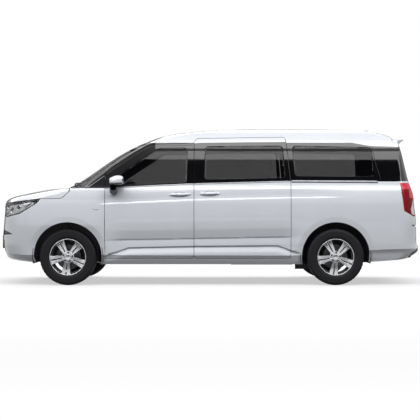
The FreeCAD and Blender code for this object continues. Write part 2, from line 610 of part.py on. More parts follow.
Opening = namedtuple("Opening", "bottom top half_bottom half_top")
GRILLE = Opening(575, 948, breadth(470), breadth(455))
INTAKE = Opening(372, 505, breadth(520), breadth(560))
TOW_X, TOW_Y, TOW_Z, TOW_LENGTH = NOSE + 100, breadth(330), 440.0, 60.0


def opening_prism(opening, x_to):
    outline = [(-opening.half_bottom, opening.bottom), (opening.half_bottom, opening.bottom),
               (opening.half_top, opening.top), (-opening.half_top, opening.top)]
    return prism_front(outline, NOSE - 60, x_to)


grille_prism = opening_prism(GRILLE, NOSE + GRILLE_DEPTH)
recess = opening_prism(INTAKE, NOSE + GRILLE_DEPTH).cut(hull(GRILLE_BACK, GRILLE_BACK))
bumper = wall.common(prism_side(FRONT_BUMPER, -OUTSIDE, OUTSIDE)).cut([front_arch, mirrored(front_arch)])
bumper = bumper.cut([lamp_zone, mirrored(lamp_zone), grille_prism, recess])
front_plate = block(NOSE, NOSE + 60, -size.plate_width / 2, size.plate_width / 2, size.front_plate_bottom,
                    size.front_plate_bottom + size.plate_height)
plate_holes = [rod((NOSE - 1, side * PLATE_HOLE_Y, front_plate_z), (NOSE + PLATE_HOLE_DEPTH, side * PLATE_HOLE_Y,
                   front_plate_z), size.plate_hole_diameter) for side in (-1, 1)]
tow_boss = rod((TOW_X, TOW_Y, TOW_Z), (TOW_X + TOW_LENGTH, TOW_Y, TOW_Z), 44)
tow_hole = rod((TOW_X - 1, TOW_Y, TOW_Z), (TOW_X + TOW_LENGTH + 1, TOW_Y, TOW_Z), size.tow_hole_diameter)
bumper = bumper.fuse([front_plate.cut(inner), tow_boss]).cut(plate_holes + [tow_hole])
sub_part("front_bumper", bumper)

SLATS = 9
SLAT_HEIGHT = 17.0
FRAME_BAR = 22.0
UPRIGHT_BAR = 24.0
grille_reach = NOSE + 300
band = hull(GRILLE_FRONT, GRILLE_FRONT).cut(hull(GRILLE_BACK, GRILLE_BACK)).common(grille_prism)
opening_height = GRILLE.top - GRILLE.bottom
bars = [block(NOSE - 60, grille_reach, -OUTSIDE, OUTSIDE, GRILLE.bottom, GRILLE.bottom + FRAME_BAR),
        block(NOSE - 60, grille_reach, -OUTSIDE, OUTSIDE, GRILLE.top - FRAME_BAR, GRILLE.top)]
for slat in range(1, SLATS + 1):
    middle = GRILLE.bottom + opening_height * slat / (SLATS + 1)
    bars.append(block(NOSE - 60, grille_reach, -OUTSIDE, OUTSIDE, middle - SLAT_HEIGHT / 2,
                      middle + SLAT_HEIGHT / 2))
outer_bar = GRILLE.half_bottom - UPRIGHT_BAR / 2
for y in (-outer_bar, breadth(-230), 0, breadth(230), outer_bar):
    bars.append(block(NOSE - 60, grille_reach, y - UPRIGHT_BAR / 2, y + UPRIGHT_BAR / 2, GRILLE.bottom, GRILLE.top))
sub_part("grille", band.common(bars[0].fuse(bars[1:])))

rear_bumper = wall.common(prism_side(REAR_BUMPER, -OUTSIDE, OUTSIDE))
rear_bumper = rear_bumper.cut([rear_arch, mirrored(rear_arch), gate_opening])
sub_part("rear_bumper", rear_bumper)

# ---------------------------------------------------------------- floor and bulkhead
firewall_rear = float(FRONT_AXLE + size.firewall_behind_axle)
firewall_front = firewall_rear - float(size.firewall_thickness)
floor_step = float(REAR_AXLE + size.rear_floor_behind_axle)
rear_low, rear_top = floor_low + float(size.rear_floor_rise), floor_top + float(size.rear_floor_rise)
floor = inner.common(block(firewall_front, floor_step + 30, -OUTSIDE, OUTSIDE, floor_low, floor_top).fuse([
    block(firewall_front, firewall_rear, -OUTSIDE, OUTSIDE, floor_top, 1085),
    block(floor_step, floor_step + 30, -OUTSIDE, OUTSIDE, floor_low, rear_top),
    block(floor_step, TAIL, -OUTSIDE, OUTSIDE, rear_low, rear_top)]))
tank_front, tank_top = station(280), floor_top - float(size.floor_skin)
tank_side = float(size.tank_width / 2) + 2
tank_bay = block(tank_front - 2, tank_front + float(size.tank_length) + 2, -tank_side, tank_side, floor_low, tank_top)
front_well = arch(FRONT_AXLE, size.arch_radius + size.liner_gap + size.liner_wall, size.front_liner_inner)
rear_well = arch(REAR_AXLE, size.arch_radius + size.liner_gap + size.liner_wall, size.rear_liner_inner)
floor = floor.cut([front_well, mirrored(front_well), rear_well, mirrored(rear_well), tank_bay])
sub_part("floor_pan", floor)

# ---------------------------------------------------------------- front subframe and knuckles
arm_z = size.kingpin_low_z
rail_out = float(size.front_liner_inner) - 25
rail_in = rail_out - 50
axle_x = float(FRONT_AXLE)
rail = block(NOSE + 140, firewall_front, -rail_out, -rail_in, 285, 345)
cross = block(axle_x - 80, axle_x + 80, -rail_out, rail_out, 190, 250)
arm = block(axle_x - 26, axle_x + 26, kingpin_low.y, -rail_in, 184, 206)
cup = rod((axle_x, kingpin_low.y, 176), (axle_x, kingpin_low.y, 208), 56)
ball = 36.0
socket = Part.makeSphere(ball / 2 + float(size.fit_clearance), kingpin_low)
throat = rod(kingpin_low, kingpin_low + Vector(0, 0, 40), 42)
tower = block(axle_x - 90, axle_x + 90, -rail_out, -rail_in, 240, 1010)
tower = tower.fuse(block(axle_x - 90, axle_x + 90, kingpin_top.y - 70, -rail_out, 990, 1010))
lean = (kingpin_top - kingpin_low).normalize()
mount_foot = kingpin_top + lean * float(size.fit_clearance)
mount = rod(mount_foot, kingpin_top + lean * 45, size.strut_diameter + 30)
left_frame = arm.fuse(cup).cut([socket, throat]).fuse([rail, tower, mount])
subframe = cross.fuse([left_frame, mirrored(left_frame)]).common(inner.fuse(
    block(axle_x - 200, axle_x + 200, -800, 800, 150, 260)))
sub_part("front_subframe", subframe)

wheel_y = float(WHEEL_Y)
upright_out, upright_in = wheel_y - 95.5, wheel_y - 133.5
spindle_end = WHEEL_Y + size.rim_width / 2 - size.rim_dish - 26
wheel_z = float(WHEEL_Z)
spindle = rod((axle_x, -upright_in, wheel_z), (axle_x, -spindle_end, wheel_z), size.spindle_diameter)
upright = block(axle_x - 45, axle_x + 45, -upright_out, -upright_in, 236, 450)
foot = block(axle_x - 30, axle_x + 30, kingpin_low.y - 35, -upright_in, 236, 262)
strut = rod(kingpin_low + lean * 230, kingpin_top, size.strut_diameter)
stud = rod(kingpin_low, kingpin_low + lean * 45, 22)
joint_ball = Part.makeSphere(ball / 2, kingpin_low)
sided("knuckle", upright.fuse([spindle, foot, strut, stud, joint_ball]))

# ---------------------------------------------------------------- rear axle, exhaust
rear_x = float(REAR_AXLE)
arm_out, arm_in = wheel_y - 125.5, wheel_y - 175.5
trailing = block(rear_x - 470, rear_x + 40, -arm_out, -arm_in, 185, 245)
rear_plate = block(rear_x - 40, rear_x + 40, -arm_out, -arm_in, 245, 400)
rear_spindle = rod((rear_x, -arm_in, wheel_z), (rear_x, -spindle_end, wheel_z), size.spindle_diameter)
bush = block(rear_x - 470, rear_x - 430, -arm_out, -arm_in, 245, floor_low)
left_axle = trailing.fuse([rear_plate, rear_spindle, bush])
beam_top = floor_low - 57
beam = block(rear_x - 140, rear_x - 80, -arm_in - 8, arm_in + 8, beam_top - 50, beam_top)
sub_part("rear_axle", beam.fuse([left_axle, mirrored(left_axle)]))


def rounded_path(points, radius):
    """Straight runs joined by tangent arcs of one radius."""
    edges = []
    start = points[0]
    for before, here, after in zip(points, points[1:], points[2:]):
        back = (before - here).normalize()
        onward = (after - here).normalize()
        half_turn = (math.pi - back.getAngle(onward)) / 2
        setback = radius * math.tan(half_turn)
        arc_from = here + back * setback
        arc_to = here + onward * setback
        to_centre = (back + onward).normalize()
        centre = here + to_centre * (radius / math.cos(half_turn))
        edges.append(Part.makeLine(start, arc_from))
        edges.append(Part.Arc(arc_from, centre - to_centre * radius, arc_to).toShape())
        start = arc_to
    edges.append(Part.makeLine(start, points[-1]))
    return Part.Wire(edges)


pipe_diameter = 48.0
pipe_y = 500.0
pipe_z = floor_low - pipe_diameter / 2 - 3
outlet_z = sill + 12
engine_rear = float(FRONT_AXLE) + 120
silencer_front, silencer_rear = station(1915), station(2150)
silencer_low, silencer_top = rear_low - 105, rear_low - 10
silencer_z = (silencer_low + silencer_top) / 2 - 10
EXHAUST_PATH = [Vector(engine_rear, 200, outlet_z), Vector(engine_rear + 70, 200, outlet_z),
                Vector(engine_rear + 190, 260, pipe_z), Vector(engine_rear + 480, pipe_y, pipe_z),
                Vector(floor_step + 40, pipe_y, pipe_z), Vector(silencer_front - 30, pipe_y, silencer_z),
                Vector(silencer_front + 35, pipe_y, silencer_z)]
path = rounded_path(EXHAUST_PATH, 60)
mouth = Part.Wire(Part.makeCircle(pipe_diameter / 2, EXHAUST_PATH[0], Vector(1, 0, 0)))
pipe = path.makePipeShell([mouth], True, False)
silencer = block(silencer_front, silencer_rear, 360, 630, silencer_low, silencer_top)
silencer = silencer.makeFillet(38, [edge for edge in silencer.Edges if abs(edge.tangentAt(0).x) > 0.9])
tail_pipe = rod((silencer_rear - 10, 560, silencer_z), (silencer_rear + 50, 560, silencer_z), pipe_diameter)
hangers = [block(x, x + 30, pipe_y - 10, pipe_y + 10, low, high) for x, low, high in (
    (station(-1000), pipe_z, floor_low), (station(1150), pipe_z, floor_low),
    (silencer_front + 120, silencer_top - 5, rear_low))]
sub_part("exhaust", pipe.fuse([silencer, tail_pipe] + hangers))

# ---------------------------------------------------------------- dashboard
DASHBOARD = [(firewall_rear, 820), (firewall_rear + 295, 820), (firewall_rear + 320, 960),
             (firewall_rear + 245, 1110), (firewall_rear, 1130)]
WHEEL_CENTRE = Vector(firewall_rear + 433, -float(size.seat_from_centre), 985)
rake = math.radians(float(size.steering_rake))
column_line = Vector(math.cos(rake), 0, math.sin(rake))
dash = prism_side(DASHBOARD, -HALF + 170, HALF - 170)
column_end = WHEEL_CENTRE - column_line * 30
column = rod(column_end - column_line * 190, column_end, 60)
sub_part("dashboard", dash.fuse(column))

# ---------------------------------------------------------------- helpers for PartDesign bodies
def new_body(label):
    body = doc.addObject("PartDesign::Body", label)
    body.Label = label
    return body


def plane(body, role):
    return next(feature for feature in body.Origin.OriginFeatures if feature.Role == role)


def new_sketch(body, name, role):
    sketch = body.newObject("Sketcher::SketchObject", name)
    sketch.AttachmentSupport = (plane(body, role), [""])
    sketch.MapMode = "FlatFace"
    return sketch


def draw_polygon(sketch, points):
    """Closed polygon whose corners are held from the sketch's origin; Dim coordinates stay bound."""
    first = sketch.GeometryCount
    count = len(points)
    spots = [Vector(float(x), float(y), 0) for x, y in points]
    for index in range(count):
        sketch.addGeometry(Part.LineSegment(spots[index], spots[(index + 1) % count]), False)
    for index in range(count):
        line = first + index
        following = first + (index + 1) % count
        sketch.addConstraint(Sketcher.Constraint("Coincident", line, 2, following, 1))
        for kind, value in zip(("DistanceX", "DistanceY"), points[index]):
            number = sketch.addConstraint(Sketcher.Constraint(kind, -1, 1, line, 1, float(value)))
            if isinstance(value, Dim):
                sketch.setExpression("Constraints[%d]" % number, value.text)


def bind(obj, **places):
    """Tie properties to the sheet: bind(box, Length=size.plate_width)."""
    for name, value in places.items():
        obj.setExpression(name, Dim.of(value).text)


def place(obj, x, y, z, rotation=None):
    obj.Placement = FreeCAD.Placement(Vector(float(x), float(y), float(z)), rotation or FreeCAD.Rotation())
    for axis, value in zip("xyz", (x, y, z)):
        obj.setExpression(".Placement.Base." + axis, Dim.of(value).text)


# ---------------------------------------------------------------- wheels
SPOKE_TURN = 43.0  # how far the parked wheels stand turned from one spoke pair straight up
WHEELS = [  # name, axle, side
    ("front_left", FRONT_AXLE, -1),
    ("front_right", FRONT_AXLE, 1),
    ("rear_left", REAR_AXLE, -1),
    ("rear_right", REAR_AXLE, 1),
]


def wheel_rotation(side):
    """Outboard is -Y on the left; the right wheels are turned round."""
    turned = FreeCAD.Rotation(Vector(0, 1, 0), SPOKE_TURN)
    if side > 0:
        return FreeCAD.Rotation(Vector(0, 0, 1), 180) * turned
    return turned


def revolved(body, sketch):
    turn = body.newObject("PartDesign::Revolution", sketch.Name + "_turn")
    turn.Profile = sketch
    turn.ReferenceAxis = (sketch, ["H_Axis"])
    turn.Angle = 360
    return turn


def make_tyre(label, axle, side):
    body = new_body(label)
    profile = new_sketch(body, label + "_section", "YZ_Plane")
    radius = size.tyre_diameter / 2
    inside = size.rim_diameter / 2 + size.fit_clearance
    widest = (radius + inside) / 2
    tread, wide, bead = size.tyre_tread_width / 2, size.tyre_width / 2, size.rim_width / 2
    draw_polygon(profile, [
        (-tread, radius), (tread, radius), (wide - 5, radius - size.tyre_shoulder_drop), (wide, widest),
        (bead, inside), (-bead, inside), (-wide, widest), (5 - wide, radius - size.tyre_shoulder_drop)])
    revolved(body, profile)
    place(body, axle, side * WHEEL_Y, WHEEL_Z, wheel_rotation(side))
    PARTS.append(body)


def make_rim(label, axle, side):
    body = new_body(label)
    barrel_sketch = new_sketch(body, label + "_barrel", "YZ_Plane")
    edge, flange = size.rim_width / 2, size.rim_diameter / 2
    seat, inside = size.rim_seat_diameter / 2, size.rim_barrel_diameter / 2
    lip = 7
    draw_polygon(barrel_sketch, [
        (-edge, flange), (lip - edge, flange), (lip - edge, seat), (edge - lip, seat),
        (edge - lip, flange), (edge, flange), (edge, inside), (-edge, inside)])
    revolved(body, barrel_sketch)
    spoke_face = size.rim_dish - edge  # outboard face of the spokes
    hub, hub_bore = size.hub_diameter / 2, size.spindle_diameter / 2 + size.fit_clearance
    disc, disc_from = size.disc_diameter / 2, 20
    hub_sketch = new_sketch(body, label + "_hub", "YZ_Plane")
    draw_polygon(hub_sketch, [
        (spoke_face, 0), (spoke_face, hub), (disc_from, hub), (disc_from, disc),
        (disc_from + size.disc_thickness, disc), (disc_from + size.disc_thickness, hub_bore),
        (spoke_face + 25, hub_bore), (spoke_face + 25, 0)])
    spoke_sketch = new_sketch(body, label + "_spokes", "XZ_Plane")
    spoke_sketch.AttachmentOffset = FreeCAD.Placement(Vector(0, 0, 0), FreeCAD.Rotation())
    spoke_sketch.setExpression(".AttachmentOffset.Base.z", (-(spoke_face + size.spoke_depth)).text)
    half = size.spoke_width / 2
    root, tip = hub - 12, inside - 2
    spread = tip * math.tan(math.radians(float(size.spoke_pair_angle) / 2))
    for way in (-1, 1):
        near = way * (half + 1.5)
        far = way * spread
        draw_polygon(spoke_sketch, [(near - half, root), (near + half, root), (far + half, tip), (far - half, tip)])
    spokes = body.newObject("PartDesign::Pad", label + "_spoke_pad")
    spokes.Profile = spoke_sketch
    bind(spokes, Length=size.spoke_depth)
    ring = body.newObject("PartDesign::PolarPattern", label + "_spoke_ring")
    ring.Originals = [spokes]
    ring.Axis = (spoke_sketch, ["N_Axis"])
    ring.Angle = 360
    bind(ring, Occurrences=size.spoke_pairs)
    body.Tip = ring
    revolved(body, hub_sketch)
    place(body, axle, side * WHEEL_Y, WHEEL_Z, wheel_rotation(side))
    PARTS.append(body)


for name, axle, side in WHEELS:
    make_rim("rim_" + name, axle, side)
    make_tyre("tyre_" + name, axle, side)

# ---------------------------------------------------------------- seats
SEAT_SIDE = [  # side view of one seat from its front lower corner on the floor (x, z)
    (60, 0), (440, 0), (500, 130), (640, 140), (860, 690), (950, 900), (860, 925), (790, 740),
    (745, 700), (545, 290), (20, 270), (0, 160), (60, 130)]
BENCH_SIDE = [(60, 0), (420, 0), (470, 130), (580, 140), (740, 640), (640, 665), (480, 280), (20, 265),
              (0, 160), (60, 130)]
SEAT_ROWS = [  # node, outline, x of the front corner, width, distance of its middle from the centre line
    ("front_seats", SEAT_SIDE, station(-850), size.seat_width, size.seat_from_centre),
    ("middle_seats", SEAT_SIDE, station(110), size.seat_width, size.seat_from_centre),
    ("rear_bench", BENCH_SIDE, station(1160), size.bench_width, None),
]


def make_seats(label, outline, x, width, offset):
    body = new_body(label)
    side_view = new_sketch(body, label + "_side", "XZ_Plane")
    draw_polygon(side_view, [(px + Dim.of(0), pz + Dim.of(0)) for px, pz in outline])
    pad = body.newObject("PartDesign::Pad", label + "_pad")
    pad.Profile = side_view
    pad.Midplane = True
    bind(pad, Length=width)
    if offset is not None:
        side_view.AttachmentOffset = FreeCAD.Placement(Vector(0, 0, 1), FreeCAD.Rotation())
        side_view.setExpression(".AttachmentOffset.Base.z", offset.text)
        pair = body.newObject("PartDesign::Mirrored", label + "_pair")
        pair.Originals = [pad]
        pair.MirrorPlane = (plane(body, "XZ_Plane"), [""])
        body.Tip = pair
    place(body, x, 0, size.floor_top)
    PARTS.append(body)


for row in SEAT_ROWS:
    make_seats(*row)

# ---------------------------------------------------------------- steering wheel
rim_ring = doc.addObject("Part::Torus", "steering_ring")
bind(rim_ring, Radius1=size.steering_wheel_diameter / 2 - size.steering_wheel_grip / 2,
     Radius2=size.steering_wheel_grip / 2)
wheel_hub = doc.addObject("Part::Cylinder", "steering_hub")
wheel_hub.Radius = 55
wheel_hub.Height = 60
wheel_hub.Placement.Base = Vector(0, 0, -float(size.fit_clearance) - 29.4)
spoke_bar = doc.addObject("Part::Box", "steering_spokes")
bind(spoke_bar, Length=34, Width=size.steering_wheel_diameter - size.steering_wheel_grip, Height=16)
spoke_bar.Placement.Base = Vector(-17, 0, -8)
spoke_bar.setExpression(".Placement.Base.y", (-(size.steering_wheel_diameter - size.steering_wheel_grip) / 2).text)
steering = doc.addObject("Part::MultiFuse", "steering_wheel")
steering.Label = "steering_wheel"
steering.Shapes = [rim_ring, wheel_hub, spoke_bar]
steering.Placement = FreeCAD.Placement(WHEEL_CENTRE, FreeCAD.Rotation(Vector(0, 0, 1), column_line))
PARTS.append(steering)

# ---------------------------------------------------------------- engine block and fuel tank
engine = doc.addObject("Part::Box", "engine_block")
engine.Label = "engine_block"
bind(engine, Length=size.engine_length, Width=size.engine_width, Height=size.engine_height)
place(engine, FRONT_AXLE + 120 - size.engine_length, -size.engine_width / 2, size.sill_bottom)
PARTS.append(engine)
tank = doc.addObject("Part::Box", "fuel_tank")
tank.Label = "fuel_tank"
bind(tank, Length=size.tank_length, Width=size.tank_width, Height=size.tank_height)
place(tank, tank_front, -size.tank_width / 2, size.floor_top - size.floor_skin - size.tank_height)
PARTS.append(tank)

# ---------------------------------------------------------------- checks and export
doc.recompute()
for obj in doc.Objects:
    if "Invalid" in obj.State or "Error" in obj.State:
        raise RuntimeError("%s did not recompute: %s" % (obj.Label, obj.State))
for part in PARTS:
    if part.Shape.isNull() or not part.Shape.isValid():
        raise RuntimeError("%s has no valid shape" % part.Label)
os.makedirs("parts", exist_ok=True)
for part in PARTS:
    part.Shape.exportStep("parts/%s.step" % part.Label)
print("wrote %d sub-parts" % len(PARTS))
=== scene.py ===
# %% [markdown]
# # A white minivan, dressed over its CAD frame
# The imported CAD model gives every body, hinge and mounting place. This lesson builds what the eye
# sees: one smooth skin cut into panels, glass, lamps, wheels, tyres, cabin and a plain studio.
# Everything is in metres; the nose points to -X and the left side of the car is -Y.

# %% The frame
import bmesh
import bpy
import math
import numpy as np
from mathutils import Matrix, Vector


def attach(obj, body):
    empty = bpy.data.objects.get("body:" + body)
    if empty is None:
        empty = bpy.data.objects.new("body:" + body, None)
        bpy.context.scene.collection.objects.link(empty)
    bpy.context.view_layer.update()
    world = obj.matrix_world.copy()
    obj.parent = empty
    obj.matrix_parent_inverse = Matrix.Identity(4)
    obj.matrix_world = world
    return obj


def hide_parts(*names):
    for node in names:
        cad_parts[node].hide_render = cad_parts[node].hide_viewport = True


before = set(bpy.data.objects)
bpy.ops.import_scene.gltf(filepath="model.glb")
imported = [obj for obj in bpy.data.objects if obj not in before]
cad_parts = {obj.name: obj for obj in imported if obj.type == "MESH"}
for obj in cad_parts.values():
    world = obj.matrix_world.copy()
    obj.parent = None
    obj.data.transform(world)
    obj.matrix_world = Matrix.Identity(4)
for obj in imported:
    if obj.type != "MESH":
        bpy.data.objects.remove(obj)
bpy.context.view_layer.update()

# %% [markdown]
# ## Helpers for pieces
# A piece is made from a bmesh, named, given its finishes and told which body it rides on. Its mesh holds its
# place, so the object stays at the origin.

# %% Piece helper
def piece(name, bm, finishes, body, stands_for=(), slot=None, smooth=True):
    """Turn a bmesh into a finished object that rides on a body."""
    mesh = bpy.data.meshes.new(name)
    for face in bm.faces:
        face.smooth = smooth
    bm.to_mesh(mesh)
    bm.free()
    for finish in finishes:
        mesh.materials.append(finish)
    made = bpy.data.objects.new(name, mesh)
    bpy.context.scene.collection.objects.link(made)
    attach(made, body)
    if stands_for:
        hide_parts(*stands_for)
    return made


def modifier(made, kind, name, **settings):
    """Add one modifier with its settings."""
    added = made.modifiers.new(name, kind)
    for key, value in settings.items():
        setattr(added, key, value)
    return added


def edge_roll(made, width, segments=2, angle=40):
    """A small rolled edge, as on pressed sheet and moulded plastic."""
    return modifier(made, "BEVEL", "edge roll", width=width, segments=segments, limit_method="ANGLE",
                    angle_limit=math.radians(angle), harden_normals=True)


# %% [markdown]
# ## Finishes
# Each finish is a Principled shader with its own small-scale variation: orange peel in the paint and a
# finer or coarser grain in plastic, rubber, leather and metal.

# %% Finish helper
def finish(name, colour, roughness, metallic=0.0, coat=0.0, alpha=1.0, emission=None, ior=1.5, sheen=0.0,
           specular=0.5):
    """A Principled material; noise is added by the helpers below."""
    made = bpy.data.materials.new(name)
    made.use_nodes = True
    values = {"Base Color": (*colour, 1), "Roughness": roughness, "Metallic": metallic, "Coat Weight": coat,
              "Coat Roughness": 0.03, "Alpha": alpha, "IOR": ior, "Sheen Weight": sheen,
              "Specular IOR Level": specular}
    if emission:
        values["Emission Color"] = (*emission[:3], 1)
        values["Emission Strength"] = emission[3]
    for socket, value in values.items():
        made.node_tree.nodes["Principled BSDF"].inputs[socket].default_value = value
    return made


def mottle(made, scale, low, high, detail=4.0):
    """Vary the base colour between two tones with a noise on Object coordinates."""
    tree = made.node_tree
    shader = tree.nodes["Principled BSDF"]
    place = tree.nodes.new("ShaderNodeTexCoord")
    noise = tree.nodes.new("ShaderNodeTexNoise")
    noise.inputs["Scale"].default_value = scale
    noise.inputs["Detail"].default_value = detail
    tones = tree.nodes.new("ShaderNodeValToRGB")
    tones.color_ramp.elements[0].position = 0.3
    tones.color_ramp.elements[0].color = (*low, 1)
    tones.color_ramp.elements[1].position = 0.7
    tones.color_ramp.elements[1].color = (*high, 1)
    tree.links.new(place.outputs["Object"], noise.inputs["Vector"])
    tree.links.new(noise.outputs["Fac"], tones.inputs["Fac"])
    tree.links.new(tones.outputs["Color"], shader.inputs["Base Color"])
    return made


def grain(made, scale, strength, distance=0.001, kind="noise"):
    """Fine relief: orange peel, moulded grain or leather cells."""
    tree = made.node_tree
    shader = tree.nodes["Principled BSDF"]
    place = tree.nodes.new("ShaderNodeTexCoord")
    if kind == "cells":
        pattern = tree.nodes.new("ShaderNodeTexVoronoi")
        height = "Distance"
    else:
        pattern = tree.nodes.new("ShaderNodeTexNoise")
        height = "Fac"
    pattern.inputs["Scale"].default_value = scale
    bump = tree.nodes.new("ShaderNodeBump")
    bump.inputs["Strength"].default_value = strength
    bump.inputs["Distance"].default_value = distance
    tree.links.new(place.outputs["Object"], pattern.inputs["Vector"])
    tree.links.new(pattern.outputs[height], bump.inputs["Height"])
    tree.links.new(bump.outputs["Normal"], shader.inputs["Normal"])
    return made


# %% The finishes of this car
PAINT = grain(mottle(finish("pearl white paint", (0.80, 0.825, 0.875), 0.32, coat=1.0), 3.0,
                     (0.785, 0.81, 0.86), (0.81, 0.835, 0.885)), 900.0, 0.02)
GLOSS_BLACK = grain(mottle(finish("gloss black trim", (0.004, 0.004, 0.005), 0.05, coat=0.3), 30.0,
                           (0.003, 0.003, 0.004), (0.006, 0.006, 0.007)), 700.0, 0.01)
DARK_PLASTIC = grain(mottle(finish("dark grained plastic", (0.03, 0.03, 0.033), 0.55), 60.0,
                            (0.022, 0.022, 0.025), (0.038, 0.038, 0.042)), 1200.0, 0.25)
GLASS = finish("tinted window glass", (0.003, 0.003, 0.004), 0.02, alpha=0.53, ior=1.52)
CLEAR_GLASS = finish("windscreen glass", (0.03, 0.035, 0.035), 0.02, alpha=0.42, ior=1.52)
CHROME = grain(mottle(finish("bright chrome", (0.78, 0.79, 0.81), 0.12, metallic=1.0), 40.0,
                      (0.72, 0.73, 0.75), (0.84, 0.85, 0.87)), 500.0, 0.01)
ALLOY = grain(mottle(finish("silver alloy lacquer", (0.62, 0.63, 0.65), 0.24, metallic=0.9, coat=0.4), 55.0,
                     (0.58, 0.59, 0.61), (0.66, 0.67, 0.69)), 1500.0, 0.05)
RUBBER = grain(mottle(finish("tyre rubber", (0.022, 0.022, 0.025), 0.6, specular=0.1), 90.0,
                      (0.018, 0.018, 0.020), (0.027, 0.027, 0.031)), 900.0, 0.2)
UNDERBODY = grain(mottle(finish("underseal", (0.035, 0.035, 0.037), 0.8), 25.0,
                         (0.025, 0.025, 0.027), (0.05, 0.05, 0.052)), 220.0, 0.5)
FRIT = mottle(finish("satin black border", (0.005, 0.005, 0.006), 0.30, specular=0.12), 30.0,
              (0.004, 0.004, 0.005), (0.009, 0.009, 0.010))
TRIM_DARK = grain(mottle(finish("cabin trim", (0.045, 0.042, 0.04), 0.7), 20.0,
                         (0.038, 0.035, 0.033), (0.055, 0.05, 0.047)), 900.0, 0.3)
print("finishes:", len(bpy.data.materials))

# %% [markdown]
# ## One smooth skin
# The real body is pressed sheet with one flowing outer surface. The table repeats the car's plan outline
# at rising heights: how far the nose lies back, where its arc ends, where the straight side starts and
# ends, and how the tail closes. Monotone cubic curves through the heights give a surface without ripples,
# which no single mesh operator does, so this one surface is worked out point by point.

# %% Outline table (metres)
LENGTH_HALF, WIDTH_HALF = 2.6, 0.985
LEVELS = [  # z, nose_back, nose_y, nose_sag, nose_corner, side_in, tail_corner, tail_y, tail_sag, tail_in
    (.250, .480, .560, .060, .700, .070, .760, .680, .040, .600),
    (.320, .080, .590, .075, .500, .045, .330, .740, .053, .130),
    (.425, .038, .600, .075, .475, .030, .300, .740, .053, .000),
    (.510, .016, .600, .080, .470, .018, .290, .740, .053, .038),
    (.780, .029, .590, .085, .470, .000, .290, .740, .053, .048),
    (.970, .038, .570, .095, .500, .006, .300, .740, .045, .078),
    (1.030, .075, .560, .100, .560, .014, .300, .740, .042, .085),
    (1.100, .300, .520, .110, .800, .028, .300, .735, .040, .098),
    (1.150, .580, .440, .110, .960, .042, .300, .730, .040, .115),
    (1.178, .845, .760, .240, 1.160, .055, .300, .725, .040, .126),
    (1.240, .950, .790, .230, 1.250, .072, .300, .720, .040, .148),
    (1.657, 1.595, .690, .180, 1.830, .177, .310, .640, .035, .250),
    (1.741, 1.790, .620, .150, 2.020, .212, .330, .600, .035, .280),
    (1.800, 1.950, .540, .120, 2.250, .262, .480, .500, .035, .370),
    (1.850, 2.230, .430, .090, 2.600, .345, .680, .400, .030, .540),
    (1.885, 2.600, .300, .060, 3.000, .480, 1.000, .280, .030, .820),
    (1.903, 3.050, .150, .030, 3.300, .720, 1.600, .150, .020, 1.400),
]
ARC_STEPS, CORNER_STEPS, SIDE_STEPS = 10, 12, 120


def arc(start, middle, end, steps):
    """Points along the circle through three plan points."""
    (ax, ay), (bx, by), (cx, cy) = start, middle, end
    d = 2 * (ax * (by - cy) + bx * (cy - ay) + cx * (ay - by))
    if abs(d) < 1e-9:
        return [(ax + (cx - ax) * i / steps, ay + (cy - ay) * i / steps) for i in range(steps)]
    ux = ((ax**2 + ay**2) * (by - cy) + (bx**2 + by**2) * (cy - ay) + (cx**2 + cy**2) * (ay - by)) / d
    uy = ((ax**2 + ay**2) * (cx - bx) + (bx**2 + by**2) * (ax - cx) + (cx**2 + cy**2) * (bx - ax)) / d
    radius = math.hypot(ax - ux, ay - uy)
    first = math.atan2(ay - uy, ax - ux)
    turn = (math.atan2(cy - uy, cx - ux) - first + math.pi) % (2 * math.pi) - math.pi
    turns = [first + turn * i / steps for i in range(steps)]
    return [(ux + radius * math.cos(a), uy + radius * math.sin(a)) for a in turns]


def half_ring(level):
    """Left half of one plan outline, from the nose's middle to the tail's middle."""
    z, nose_back, nose_y, nose_sag, nose_corner, side_in, tail_corner, tail_y, tail_sag, tail_in = level
    nose = -LENGTH_HALF + nose_back
    tail = LENGTH_HALF - tail_in
    side = -(WIDTH_HALF - side_in)
    nose_end, tail_end = (nose + nose_sag, -nose_y), (tail - tail_sag, -tail_y)
    side_start, side_end = (-LENGTH_HALF + nose_corner, side), (LENGTH_HALF - tail_corner, side)
    share = math.sqrt(0.5)

    def corner(end, start):
        return (start[0] - (start[0] - end[0]) * share, end[1] + (start[1] - end[1]) * share)

    full_nose = arc((nose + nose_sag, nose_y), (nose, 0), nose_end, 2 * ARC_STEPS)[ARC_STEPS:]
    full_tail = arc(tail_end, (tail, 0), (tail - tail_sag, tail_y), 2 * ARC_STEPS)[:ARC_STEPS + 1]
    straight = [(side_start[0] + (side_end[0] - side_start[0]) * i / SIDE_STEPS, side)
                for i in range(SIDE_STEPS)]
    plan = (full_nose + arc(nose_end, corner(nose_end, side_start), side_start, CORNER_STEPS) + straight
            + arc(side_end, corner(tail_end, side_end), tail_end, CORNER_STEPS) + full_tail)
    return [(x, y, z) for x, y in plan]


# %% Smooth rows between the heights
ROW_HEIGHT = 0.014


def slopes(t, p):
    """Monotone cubic slopes, so that the curve never bulges past its points."""
    step = np.diff(t)
    secant = np.diff(p) / step
    slope = np.zeros_like(p)
    same = secant[:-1] * secant[1:] > 0
    weight_a, weight_b = 2 * step[1:] + step[:-1], step[1:] + 2 * step[:-1]
    inner = np.zeros_like(secant[:-1])
    inner[same] = ((weight_a + weight_b)[same]
                   / (weight_a[same] / secant[:-1][same] + weight_b[same] / secant[1:][same]))
    slope[1:-1] = inner
    slope[0], slope[-1] = secant[0], secant[-1]
    return slope


